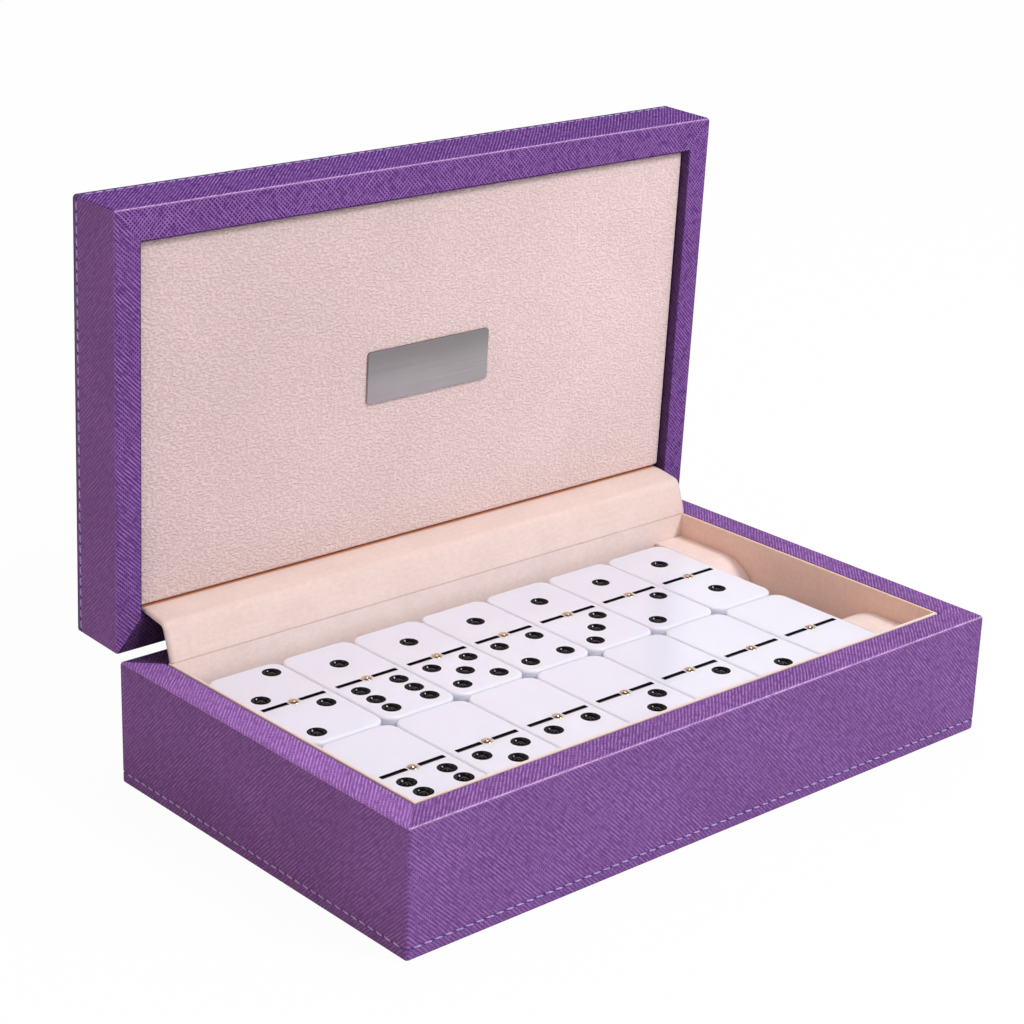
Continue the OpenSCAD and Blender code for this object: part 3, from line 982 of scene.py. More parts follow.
@dataclass(frozen=True)
class CaseSizes:
    """Sizes that the base and the lid share."""

    width: float = 221.0 * MM
    depth: float = 127.0 * MM
    base_height: float = 37.0 * MM
    lid_height: float = 20.0 * MM
    shut_gap: float = 0.4 * MM
    wall: float = 9.8 * MM
    lid_side_wall: float = 8.7 * MM
    cover: float = 0.9 * MM
    corner_r: float = 1.1 * MM
    corner_steps: int = 6
    outer_r: float = 0.95 * MM
    inner_r: float = 0.6 * MM
    edge_r: float = 0.8 * MM
    hem: float = 13.0 * MM
    axis_y: float = 64.6 * MM
    axis_z: float = 37.2 * MM
    open_angle: float = math.radians(88)
    hinge_x: float = 63.5 * MM
    hinge_length: float = 26.0 * MM
    well_width: float = 199.4 * MM
    well_depth: float = 105.4 * MM
    well_floor: float = 4.2 * MM
    clear: float = 0.02 * MM

    @property
    def leather(self) -> float:
        """Thickness of the leather, which ends just short of the wall under it."""
        return self.cover - self.clear

    @property
    def opening(self) -> Matrix:
        """How the lid swings from shut to open."""
        axis = Vector((0, self.axis_y, self.axis_z))
        turn = Matrix.Rotation(-self.open_angle, 4, "X")
        return Matrix.Translation(axis) @ turn @ Matrix.Translation(-axis)

    @property
    def lid_place(self) -> Matrix:
        """How a lid piece, drawn from its outer face at z = 0 to its rim, reaches the open lid."""
        top = self.base_height + self.shut_gap + self.lid_height
        return (
            self.opening
            @ Matrix.Translation((0, 0, top))
            @ Matrix.Diagonal((1.0, 1.0, -1.0, 1.0))
        )


SIZES = CaseSizes()


def put_on_lid(mesh: bmesh.types.BMesh) -> None:
    """Carries a mesh drawn from the lid's outer face inwards to the open lid."""
    bmesh.ops.transform(mesh, matrix=SIZES.lid_place, verts=mesh.verts[:])
    bmesh.ops.reverse_faces(mesh, faces=mesh.faces[:])


@dataclass(frozen=True)
class Strip:
    """How one strip of the leather differs from the others.

    The lead and relief are the leather's own grain on its faces. The shade is painted light, a
    strip painted lighter or darker for how light falls on it; the wear is an edge rubbed light,
    with a painted highlight; the coolness is a painted cool cast of the light. The shift is how far
    along the hide the strip was cut.
    """

    lead: float
    relief: float = 1.0
    shade: float = 1.0
    wear_and_highlight: float = 0.0
    shift: float = 0.0
    painted_cool_cast: float = 0.0


@dataclass
class LeatherShell:
    """The leather round a case's walls: outside, over the rim and down the inside.

    The lip is how far it reaches down the inside. The hem is how far it is turned in under the
    case, or None where the case's face has a sheet of its own.
    """

    height: float
    lip: float
    hem: float | None
    side_wall: float
    strips: dict[str, Strip]
    stitch_height: float
    seam_half: float = 0.22 * MM
    seam_depth: float = 0.22 * MM
    # Half the width of the stitches' channel, at its bed and at its mouth
    channel: tuple[float, float] = (0.18 * MM, 0.40 * MM)
    channel_depth: float = 0.24 * MM
    # How strongly the channel's bed and its two slopes are painted with dark blue shade
    crevice_shade: tuple[float, float] = (0.8, 0.55)
    # Painted shade on the rim's inner faces, where little light reaches
    inner_shade: float = 0.45
    # Faces that look up more than this wear the rim's strip
    rim_tilt: float = 0.6
    # A strip that was cut further along the hide was also cut this much further up
    shift_rise: float = 0.6
    # Power of the rounding's tilt that gives the rubbed edge and its painted highlight
    wear_and_highlight_power: int = 8
    # What a hinge needs cut away: beside its leaves, in from the rear and down from the rim
    window: tuple[float, float, float] = (0.2 * MM, 7.3 * MM, 1.6 * MM)
    slack: float = 0.01 * MM

    def wall(self, side: Side) -> float:
        """Width of a side's rim."""
        return SIZES.wall if side in (Side.FRONT, Side.REAR) else self.side_wall

    def share(self, side: Side, place: Vector) -> float:
        """How far a place lies across a side's rim: 0 at the outside and 1 at the inside."""
        return side.inward(place, SIZES.width, SIZES.depth) / self.wall(side)

    def nearest(self, place: Vector) -> Side:
        """The side whose strip of leather covers a place."""
        return min(Side, key=lambda s: self.share(s, place))

    def along(self, side: Side, place: Vector) -> float:
        """Distance round the case from the middle of the front to a place on a strip.

        Args:
            side: The strip's side.
            place: The place.

        Returns:
            The distance, negative on the left side.
        """
        half_w, half_d = SIZES.width / 2, SIZES.depth / 2
        if side is Side.FRONT:
            return place.x
        if side is Side.REAR:
            return 2 * (half_w + half_d) - place.x
        return (half_w + half_d + place.y) * (1.0 if place.x > 0 else -1.0)

    def lay_out(self, mesh: bmesh.types.BMesh) -> None:
        """Writes the flat cut, the leather's own values of every face, and its painted light,
        highlight and channel shade.

        Args:
            mesh: The shell.
        """
        mesh.normal_update()
        cut = mesh.loops.layers.uv.new(CUT_UV)
        lead, relief, shade, channel_shade, wear_and_highlight, painted_cool_cast = (
            mesh.faces.layers.float.new(name) for name in (LEAD, RELIEF, PAINTED_LIGHT, CHANNEL_SHADE, WORN_AND_HIGHLIGHT, PAINTED_COOL_CAST)
        )
        for face in mesh.faces:
            centre, normal = face.calc_center_median(), face.normal
            side = self.nearest(centre)
            strip = self.strips[("rim_" if normal.z > self.rim_tilt else "") + side.name.lower()]
            # Each strip brings its painted light and its painted cool cast
            face[lead], face[relief], face[shade] = strip.lead, strip.relief, strip.shade
            face[painted_cool_cast] = strip.painted_cool_cast
            inside = self.share(side, centre) > 1 - SIZES.inner_r / self.wall(side)
            # The inner faces are painted with shade
            if inside:
                face[shade] *= self.inner_shade
            # Rubbed light and a painted highlight where the rounded outer edge faces up at about 45
            # degrees
            tilt = normal.z * (1 - normal.z * normal.z) ** 0.5 * 2
            if not inside and centre.z > self.height - SIZES.outer_r:
                rubbed_and_lit = max(0.0, tilt) ** self.wear_and_highlight_power
                face[wear_and_highlight] = self.strips[side.name.lower()].wear_and_highlight * rubbed_and_lit
            # Painted shade in the stitches' channel
            off = abs(centre.z - self.stitch_height)
            if not inside and off < self.channel[1] - self.slack:
                face[channel_shade] = self.crevice_shade[0 if off < self.channel[0] else 1]
            for loop in face.loops:
                place = loop.vert.co
                inward = side.inward(place, SIZES.width, SIZES.depth)
                rise = 2 * self.height - place.z if inside else place.z
                along = self.along(side, place) + strip.shift
                loop[cut].uv = (along, rise + inward + self.shift_rise * strip.shift)

    def sink_channel(self, mesh: bmesh.types.BMesh) -> None:
        """Sinks the channel that the stitches lie in, round the outside.

        Args:
            mesh: The shell.
        """
        near, far = self.channel
        for off in (-far, -near, near, far):
            slice_across(mesh, (0, 0, self.stitch_height + off), (0, 0, 1), TINY)
        mesh.normal_update()
        for vert in mesh.verts:
            outside = self.share(self.nearest(vert.co), vert.co) < 0.5
            if outside and abs(abs(vert.co.z - self.stitch_height) - near) < self.slack:
                vert.co -= vert.normal * self.channel_depth

    def outline(self) -> bmesh.types.BMesh:
        """The shell as a sheet, before its windows and seams.

        Returns:
            The mesh.
        """
        width, depth, height = SIZES.width, SIZES.depth, self.height
        mesh = block((-width / 2, -depth / 2, 0), (width / 2, depth / 2, height))
        bevel(mesh, upright_edges(mesh), SIZES.corner_r, SIZES.corner_steps)
        self.open_face(mesh, height, self.side_wall, SIZES.wall, -self.lip)
        low = min(mesh.faces, key=lambda f: f.calc_center_median().z)
        if self.hem is None:
            bmesh.ops.delete(mesh, geom=[low], context="FACES")
        else:
            self.open_face(mesh, 0.0, self.hem, self.hem, 0.0)
        mesh.normal_update()
        rim = border_edges(mesh, height, 1)
        middle = {e: (e.verts[0].co + e.verts[1].co) / 2 for e in rim}
        outer = [e for e in rim if self.share(self.nearest(middle[e]), middle[e]) < 0.5]
        inner = [e for e in rim if e not in outer]
        bevel(mesh, outer, SIZES.outer_r, segments=5)
        bevel(mesh, [e for e in inner if e.is_valid], SIZES.inner_r, segments=4)
        if self.hem is not None:
            mesh.normal_update()
            bevel(mesh, border_edges(mesh, 0.0, -1), SIZES.edge_r, segments=3)
        return mesh

    def open_face(
        self, mesh: bmesh.types.BMesh, z: float, across: float, along: float, drop: float
    ) -> None:
        """Cuts a square-cornered opening in the level face at a height.

        Args:
            mesh: The shell.
            z: Height of the face.
            across: Width of the border that stays at the left and the right.
            along: Width of the border that stays at the front and the rear.
            drop: Height of the wall made round the opening, negative downwards.
        """
        lid = min(mesh.faces, key=lambda f: abs(f.calc_center_median().z - z))
        # The inset's own width doesn't matter, as its corners are moved to their places
        bmesh.ops.inset_individual(mesh, faces=[lid], thickness=0.05 * MM)
        for vert in lid.verts:
            vert.co.x = math.copysign(SIZES.width / 2 - across, vert.co.x)
            vert.co.y = math.copysign(SIZES.depth / 2 - along, vert.co.y)
        bmesh.ops.remove_doubles(mesh, verts=mesh.verts[:], dist=NEAR)
        lid = max(
            (f for f in mesh.faces if abs(f.calc_center_median().z - z) < NEAR),
            key=lambda f: f.calc_area() if f.calc_center_median().xy.length < MM else 0.0,
        )
        if drop:
            bmesh.ops.inset_individual(mesh, faces=[lid], thickness=0.0, depth=drop)
        bmesh.ops.delete(mesh, geom=[lid], context="FACES")

    def on_mitre(self, place: Vector) -> bool:
        """Whether a place lies on one of the rim's diagonal seams.

        Args:
            place: The place.

        Returns:
            True on a seam.
        """
        bulge = SIZES.corner_r * (1 - math.sqrt(0.5))
        start = Vector((bulge, bulge))
        run = Vector((self.side_wall, SIZES.wall)) - start
        off = Vector((SIZES.width / 2 - abs(place.x), SIZES.depth / 2 - abs(place.y))) - start
        aside, drop = abs(run.normalized().cross(off)), abs(place.z - self.height)
        return aside < 3 * self.slack and drop < 2 * self.slack

    def sew_mitres(self, mesh: bmesh.types.BMesh) -> None:
        """Sinks a fine groove along each corner seam of the rim.

        Args:
            mesh: The shell.
        """
        seams = edges_where(mesh, lambda a, b: self.on_mitre(a) and self.on_mitre(b))
        bevel(mesh, seams, self.seam_half, segments=2)
        for vert in mesh.verts:
            if self.on_mitre(vert.co):
                vert.co.z -= self.seam_depth
        bmesh.ops.dissolve_degenerate(mesh, edges=mesh.edges[:], dist=NEAR)

    def cut_windows(self, mesh: bmesh.types.BMesh) -> None:
        """Cuts the leather away under the hinge leaves and their knuckles.

        Args:
            mesh: The shell.
        """
        beside, reach, drop = self.window
        half = SIZES.hinge_length / 2 + beside
        front, low = SIZES.depth / 2 - reach, self.height - drop
        ends = [side * SIZES.hinge_x + edge for side in (-1, 1) for edge in (-half, half)]
        planes = [((end, 0, 0), (1, 0, 0)) for end in ends]
        for where, normal in [*planes, ((0, front, 0), (0, 1, 0)), ((0, 0, low), (0, 0, 1))]:
            rear = [f for f in mesh.faces if self.nearest(f.calc_center_median()) is Side.REAR]
            if not normal[0]:
                aside = {f: abs(f.calc_center_median().x) - SIZES.hinge_x for f in rear}
                rear = [f for f in rear if abs(aside[f]) < half]
            # A dict keeps the order of its keys, so every run cuts them in the same order
            parts = dict.fromkeys(part for f in rear for part in (*f.verts, *f.edges))
            bmesh.ops.bisect_plane(
                mesh, geom=[*parts, *rear], plane_co=where, plane_no=normal, dist=TINY
            )
        gone = [f for f in mesh.faces if self.in_window(f.calc_center_median(), half, front, low)]
        bmesh.ops.delete(mesh, geom=gone, context="FACES")

    def in_window(self, place: Vector, half: float, front: float, low: float) -> bool:
        """Whether a place lies in one of the windows, given by half a width and two limits."""
        beside = abs(abs(place.x) - SIZES.hinge_x) < half
        return beside and place.y > front and place.z > low

    def build(self) -> bmesh.types.BMesh:
        """The finished sheet with its flat cut.

        Returns:
            The mesh.
        """
        mesh = self.outline()
        self.cut_windows(mesh)
        self.sink_channel(mesh)
        self.lay_out(mesh)
        self.sew_mitres(mesh)
        return mesh


@dataclass
class StitchRow:
    """A row of stitches round the outside of a case."""

    height: float
    pitch: float
    length: float = 2.75 * MM
    radius: float = 0.27 * MM
    proud: float = 0.02 * MM
    lean: float = math.radians(5)
    steps: tuple[int, int] = (8, 6)

    def build(self) -> bmesh.types.BMesh:
        """One low mesh for all the stitches, drawn at their height above z = 0.

        Returns:
            The mesh.
        """
        stitch = bmesh.new()
        u, v = self.steps
        bmesh.ops.create_uvsphere(stitch, u_segments=u, v_segments=v, radius=1.0)
        along = Matrix.Rotation(math.pi / 2, 4, "Y")
        size = Matrix.Diagonal((self.length / 2, self.radius, self.radius, 1.0))
        lean = Matrix.Rotation(self.lean, 4, "Y")
        mesh = bmesh.new()
        sides = (
            (SIZES.width, SIZES.depth, 0.0),
            (SIZES.depth, SIZES.width, math.pi / 2),
            (SIZES.width, SIZES.depth, math.pi),
            (SIZES.depth, SIZES.width, -math.pi / 2),
        )
        for run, across, turn in sides:
            count = int((run - 2 * SIZES.corner_r) / self.pitch)
            for number in range(count):
                x = (number - (count - 1) / 2) * self.pitch
                y = -across / 2 - self.proud + self.radius / 2
                place = (
                    Matrix.Rotation(turn, 4, "Z")
                    @ Matrix.Translation((x, y, self.height))
                    @ lean
                    @ size
                    @ along
                )
                join(mesh, stitch, place, 0)
        stitch.free()
        return mesh


@dataclass
class BaseCase:
    """The leather-covered base with its seams, stitches and underside sheet."""

    leather: bpy.types.Material
    thread: bpy.types.Material
    lip: float = 5.0 * MM
    stitch_height: float = 3.35 * MM
    stitch_pitch: float = 3.39 * MM
    # Lead, relief, painted light, wear with painted highlight, and shift of each strip, by its
    # side; the painted light is lighter on the rims that face up and dark on the rear rim, in the
    # shade under the flap
    strips: dict[str, Strip] = field(
        default_factory=lambda: {
            "front": Strip(0.74, 0.97, 1.01, 1.0),
            "left": Strip(0.22, 0.72, 0.96, 0.15, 0.037),
            "right": Strip(0.80, 1.0, 1.0, 0.6, 0.071),
            "rear": Strip(0.20, 1.0, 1.0, 0.5, 0.113),
            "rim_front": Strip(0.12, 1.15, 1.2),
            "rim_left": Strip(0.88, 1.0, 1.54, shift=0.037),
            "rim_right": Strip(0.88, 1.1, 1.2, shift=0.071),
            "rim_rear": Strip(0.12, 1.0, 0.4, shift=0.113),
        }
    )

    def build(self) -> None:
        """Makes the leather and its stitches."""
        shell = LeatherShell(
            height=SIZES.base_height,
            lip=self.lip,
            hem=SIZES.hem,
            side_wall=SIZES.wall,
            strips=self.strips,
            stitch_height=self.stitch_height,
        )
        cover = piece(
            "base_leather",
            shell.build(),
            "base",
            [self.leather],
            stands_for=["base_leather_cover"],
        )
        solidify(cover, SIZES.leather, -1.0)
        row = StitchRow(self.stitch_height, self.stitch_pitch)
        piece("base_stitches", row.build(), "base", [self.thread], weighted=False)


@dataclass
class LidCase:
    """The lid's leather: its sides and rim, and the separate sheet on its top."""

    leather: bpy.types.Material
    edge_paint: bpy.types.Material
    thread: bpy.types.Material
    lip: float = 6.0 * MM
    stitch_height: float = 2.0 * MM
    stitch_pitch: float = 3.28 * MM
    top_edge_r: float = 0.6 * MM
    top_strip: Strip = Strip(0.5, 1.2, 0.95)
    # Lead, relief, painted light, wear with painted highlight, and shift of each strip, by its
    # side, and the painted cool cast of some; the painted light is dark on the rear rim, in the
    # shade under the flap
    strips: dict[str, Strip] = field(
        default_factory=lambda: {
            "front": Strip(0.72, 1.7, 0.99, 0.9, painted_cool_cast=1.0),
            "left": Strip(0.18, 0.6, 0.92, 0.1, 0.037),
            "right": Strip(0.85, 1.0, 0.9, 0.6, 0.071),
            "rear": Strip(0.20, 1.0, 0.9, 0.4, 0.113),
            "rim_front": Strip(0.50, 1.5, 1.03, painted_cool_cast=0.2),
            "rim_left": Strip(0.90, 1.3, 0.91, shift=0.037, painted_cool_cast=0.3),
            "rim_right": Strip(0.50, 1.45, 0.99, shift=0.071, painted_cool_cast=0.3),
            "rim_rear": Strip(0.55, 1.2, 0.3, shift=0.113),
        }
    )

    def sides(self) -> None:
        """The leather of the sides and the rim."""
        shell = LeatherShell(
            height=SIZES.lid_height,
            lip=self.lip,
            hem=None,
            side_wall=SIZES.lid_side_wall,
            strips=self.strips,
            stitch_height=self.stitch_height,
        )
        mesh = shell.build()
        for vert in mesh.verts:
            vert.co.z = max(vert.co.z, SIZES.cover)
        put_on_lid(mesh)
        cover = piece(
            "lid_leather",
            mesh,
            "lid",
            [self.leather],
            stands_for=["lid_leather_cover"],
        )
        solidify(cover, SIZES.leather, -1.0)

    def top(self) -> None:
        """The top sheet, with its painted edge."""
        half_w, half_d = SIZES.width / 2, SIZES.depth / 2
        mesh = block((-half_w, -half_d, 0), (half_w, half_d, SIZES.cover - SIZES.clear / 2))
        bevel(mesh, upright_edges(mesh), SIZES.corner_r, SIZES.corner_steps)
        bevel(mesh, level_edges(mesh, 0.0), self.top_edge_r, segments=3)
        lay_flat(mesh)
        strip = self.top_strip
        lead, relief, shade = (
            mesh.faces.layers.float.new(name) for name in (LEAD, RELIEF, PAINTED_LIGHT)
        )
        for face in mesh.faces:
            face[lead], face[relief], face[shade] = strip.lead, strip.relief, strip.shade
            face.material_index = 1 if abs(face.normal.z) < 0.5 else 0
        put_on_lid(mesh)
        piece(
            "lid_top_leather",
            mesh,
            "lid",
            [self.leather, self.edge_paint],
            stands_for=["lid_top_cover"],
        )

    def build(self) -> None:
        """Makes the leather and its stitches."""
        self.sides()
        self.top()
        mesh = StitchRow(self.stitch_height, self.stitch_pitch).build()
        put_on_lid(mesh)
        piece("lid_stitches", mesh, "lid", [self.thread], weighted=False)


# --------------------------------------------------------------------- lid's panel


@dataclass
class LidPanel:
    """The padded panel in the lid, with its bare plate."""

    skin: bpy.types.Material
    steel: bpy.types.Material
    width: float = 203.0 * MM
    depth: float = 105.3 * MM
    shift: float = -0.75 * MM
    back: float = 15.5 * MM
    front: float = 17.5 * MM
    corner_r: float = 1.2 * MM
    roll: float = 1.0 * MM
    crown: float = 0.35 * MM
    crown_run: float = 14.0 * MM
    dent: float = 0.10 * MM
    dent_cells: float = 45.0
    # Size of the face's cells, and how near it a vertex has to be to swell with it
    cell: float = 2.0 * MM
    band: float = 0.1 * MM
    # Width, height and thickness
    plate: tuple[float, float, float] = (46.0 * MM, 16.0 * MM, 0.8 * MM)
    plate_corner_r: float = 1.0 * MM
    plate_edge_r: float = 0.18 * MM
    # Height in the crown at which the plate's back lies, as a share of it
    plate_seat: float = 0.6
    plate_shift: float = 0.9 * MM

    def pad(self) -> None:
        """The pad: rolled edges and a face that swells a little towards its middle."""
        half_w, half_d = self.width / 2, self.depth / 2
        mesh = block((-half_w, -half_d, self.back), (half_w, half_d, self.front))
        bevel(mesh, upright_edges(mesh), self.corner_r, segments=4)
        for axis, half in ((0, half_w), (1, half_d)):
            steps = int(2 * half / self.cell)
            normal = Vector((1 - axis, axis, 0))
            for number in range(1, steps):
                slice_across(mesh, normal * (number * 2 * half / steps - half), normal, 0.0)
        bevel(mesh, border_edges(mesh, self.front, 1), self.roll, segments=4)
        for vert in mesh.verts:
            if vert.co.z > self.front - self.band:
                inset = min(half_w - abs(vert.co.x), half_d - abs(vert.co.y))
                share = min(1.0, inset / self.crown_run)
                soft = noise.noise(vert.co * self.dent_cells) * self.dent
                vert.co.z += self.crown * (share * (2 - share)) + soft * share
        lay_flat(mesh)
        move(mesh, (0, self.shift, 0))
        put_on_lid(mesh)
        pad = piece(
            "panel_pad",
            mesh,
            "lid",
            [self.skin],
            stands_for=["lid_panel_pad"],
            weighted=False,
        )

    def bare_plate(self) -> None:
        """The plate, with softened corners and edges and nothing on it."""
        half_w, half_h, thick = self.plate[0] / 2, self.plate[1] / 2, self.plate[2]
        low, face = self.front + self.crown * self.plate_seat, self.front + self.crown + thick
        mesh = block((-half_w, -half_h, low), (half_w, half_h, face))
        bevel(mesh, upright_edges(mesh), self.plate_corner_r, segments=5)
        bevel(mesh, level_edges(mesh, face), self.plate_edge_r, segments=2)
        move(mesh, (0, -self.plate_shift, 0))
        put_on_lid(mesh)
        piece(
            "bare_plate",
            mesh,
            "lid",
            [self.steel],
            stands_for=["nameplate"],
        )

    def build(self) -> None:
        """Makes the pad and the plate."""
        self.pad()
        self.bare_plate()


# ----------------------------------------------------------------- lining and pads


@dataclass
class Lining:
    """Suede panels on the walls and floor of the well."""

    suede: bpy.types.Material
    # Suede of the right wall, painted with the warm light bounced onto it in the shade
    right_bounce_lit_suede: bpy.types.Material
    thickness: float = 1.0 * MM
    low: float = 3.2 * MM
    top: float = 37.2 * MM
    soft: float = 0.3 * MM
    rear_soft: float = 0.12 * MM

    def panels(self) -> dict[str, Panel]:
        """Where each panel lies, by its CAD node.

        Returns:
            Lowest corner, highest corner and flat size of each.
        """
        w, d, t = SIZES.well_width / 2, SIZES.well_depth / 2, self.thickness
        rise = self.top - self.low
        long, short = (2 * (w + t), rise), (2 * d, rise)
        return {
            "lining_front": ((-w - t, -d - t, self.low), (w + t, -d, self.top), long),
            "lining_rear": ((-w - t, d, self.low), (w + t, d + t, self.top), long),
            "lining_left": ((-w - t, -d, self.low), (-w, d, self.top), short),
            "lining_right": ((w, -d, self.low), (w + t, d, self.top), short),
            "lining_floor": ((-w, -d, self.low), (w, d, SIZES.well_floor), (2 * w, 2 * d)),
        }

    def build(self) -> None:
        """Makes the panels, with soft top edges."""
        for node, (low, high, flat) in self.panels().items():
            mesh = block(low, high)
            if node != "lining_floor":
                soft = self.rear_soft if node == "lining_rear" else self.soft
                bevel(mesh, level_edges(mesh, self.top), soft, segments=3)
            made = piece(
                node + "_suede",
                mesh,
                "base",
                [self.right_bounce_lit_suede if node == "lining_right" else self.suede],
                stands_for=[node],
            )


@dataclass
class WellPads:
    """Foam pads in suede at both ends of the well, two to a side."""

    suede: bpy.types.Material
    # Name of each end, its side of the middle and its pads' thickness
    ends: tuple[tuple[str, int, float], ...] = (("left", -1, 7.4 * MM), ("right", 1, 12.1 * MM))
    height: float = 25.65 * MM
    finger_space: float = 35.0 * MM
    end_r: float = 15.0 * MM
    edge_r: float = 2.4 * MM
    corner: float = math.radians(60)

    def pad(self, thickness: float, end: int) -> bmesh.types.BMesh:
        """One pad about x = 0, its round end towards the finger space.

        Args:
            thickness: Size of the pad along X.
            end: 1 for the rear pad, -1 for the front one.

        Returns:
            Its mesh.
        """
        near, far = self.finger_space / 2, SIZES.well_depth / 2
        floor, top = SIZES.well_floor, SIZES.well_floor + self.height
        mesh = block((-thickness / 2, near, floor), (thickness / 2, far, top))
        nose = edges_where(
            mesh, lambda a, b: min(a.z, b.z) > top - NEAR and max(a.y, b.y) < near + NEAR
        )
        bevel(mesh, nose, self.end_r, segments=14)
        rim = [
            e
            for e in mesh.edges
            if e.is_manifold
            and e.calc_face_angle() > self.corner
            and min(v.co.z for v in e.verts) > floor + NEAR
        ]
        bevel(mesh, rim, self.edge_r, segments=4)
        if end < 0:
            bmesh.ops.scale(mesh, vec=(1, -1, 1), verts=mesh.verts[:])
            bmesh.ops.reverse_faces(mesh, faces=mesh.faces[:])
        return mesh

    def build(self) -> None:
        """Makes the four pads."""
        for name, sign, thickness in self.ends:
            x = sign * (SIZES.well_width - thickness) / 2
            for label, end in (("rear", 1), ("front", -1)):
                mesh = self.pad(thickness, end)
                move(mesh, (x, 0, 0))
                made = piece(
                    f"{name}_{label}_pad",
                    mesh,
                    "base",
                    [self.suede],
                    stands_for=[f"{name}_pads"],
                )


# ------------------------------------------------------------------------- flap


@dataclass
class HingeFlap:
    """A strip of suede that leads from the panel down to the rear lining.

    Its side view is given as Y and Z on the open box.
    """

    suede: bpy.types.Material
    width: float = 200.8 * MM
    thickness: float = 1.0 * MM
    foot: tuple[float, float] = (53.2 * MM, 37.1 * MM)
    foot_rise: float = 1.2 * MM
    lid_line: float = 53.0 * MM
    tuck: float = 6.0 * MM
    fold_y: float = 56.6 * MM
    fold_drop: float = 1.3 * MM
    fold_r: float = 1.5 * MM
    # Where the soft bends at the lid and at the foot start and end, as shares of their runs
    bend_in: float = 0.85
    bend_out: float = 0.3
    foot_in: float = 0.6
    # Ripples of the loose suede: their height, their cells to a metre across and down the
    # strip, and the layer of the noise that they are read from
    ripples: tuple[tuple[float, float, float, float], ...] = (
        (0.34 * MM, 38, 30, 0.0),
        (0.30 * MM, 9, 90, 4.0),
    )
    columns: int = 130
    rows: int = 56

    def opened(self, y: float, z: float) -> Vector:
        """Where a point of the shut lid's end profile lies on the open lid."""
        return (SIZES.opening @ Vector((0, y, z))).yz

    def line(self) -> list[Vector]:
        """The flap's side view from the panel to the rear lining.

        Returns:
            The points of the line.
        """
        rim = SIZES.base_height + SIZES.shut_gap
        tuck = self.opened(self.lid_line, rim + self.tuck)
        out = self.opened(self.lid_line, rim)
        foot = Vector(self.foot)
        fold = Vector((self.fold_y, out.y - self.fold_drop))
        drop = foot + Vector((0, self.foot_rise))
        above = fold + (out - fold).normalized() * self.fold_r
        below = fold + (drop - fold).normalized() * self.fold_r
        line = [tuck]
        for start, corner, end, steps in (
            (tuck.lerp(out, self.bend_in), out, out.lerp(fold, self.bend_out), 6),
            (above, fold, below, 12),
            (fold.lerp(drop, self.foot_in), drop, foot, 8),
        ):
            for number in range(steps + 1):
                share = number / steps
                line.append(start.lerp(corner, share).lerp(corner.lerp(end, share), share))
        return line

    def ripple(self, x: float, along: float) -> float:
        """How far the loose suede stands off its line at a place of the flat strip."""
        return sum(
            noise.noise((x * across, along * down, layer)) * height
            for height, across, down, layer in self.ripples
        )

    def drape(self, mesh: bmesh.types.BMesh, line: list[Vector], lengths: list[float]) -> None:
        """Lays a level grid of size 1 along the line.

        Args:
            mesh: The grid.
            line: The flap's side view.
            lengths: Length of the line up to each of its points.
        """
        total = lengths[-1]
        for vert in mesh.verts:
            share = vert.co.y + 0.5
            along = share * total
            i = max(k for k in range(len(line) - 1) if lengths[k] <= along + 1e-12)
            a, b = line[i], line[i + 1]
            step = (along - lengths[i]) / max(lengths[i + 1] - lengths[i], 1e-9)
            point = a.lerp(b, min(step, 1.0))
            run = (b - a).normalized()
            x = vert.co.x * self.width
            lift = self.ripple(x, along) * math.sin(math.pi * share) ** 2
            vert.co = (x, point.x - run.y * lift, point.y + run.x * lift)

    def build(self) -> None:
        """Makes the flap with its soft creases."""
        line = self.line()
        lengths = [0.0]
        for a, b in zip(line, line[1:]):
            lengths.append(lengths[-1] + (b - a).length)
        total = lengths[-1]
        mesh = bmesh.new()
        bmesh.ops.create_grid(mesh, x_segments=self.columns, y_segments=self.rows, size=0.5)
        cut = mesh.loops.layers.uv.new(CUT_UV)
        for face in mesh.faces:
            for loop in face.loops:
                place = loop.vert.co
                loop[cut].uv = (place.x * self.width, (place.y + 0.5) * total)
        self.drape(mesh, line, lengths)
        bmesh.ops.recalc_face_normals(mesh, faces=mesh.faces[:])
        flap = piece(
            "hinge_flap_suede",
            mesh,
            "base",
            [self.suede],
            stands_for=["hinge_flap"],
            weighted=False,
            ride=False,
        )
        solidify(flap, self.thickness, 0.0)
        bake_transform(flap)


# --------------------------------------------------------------------- dominoes


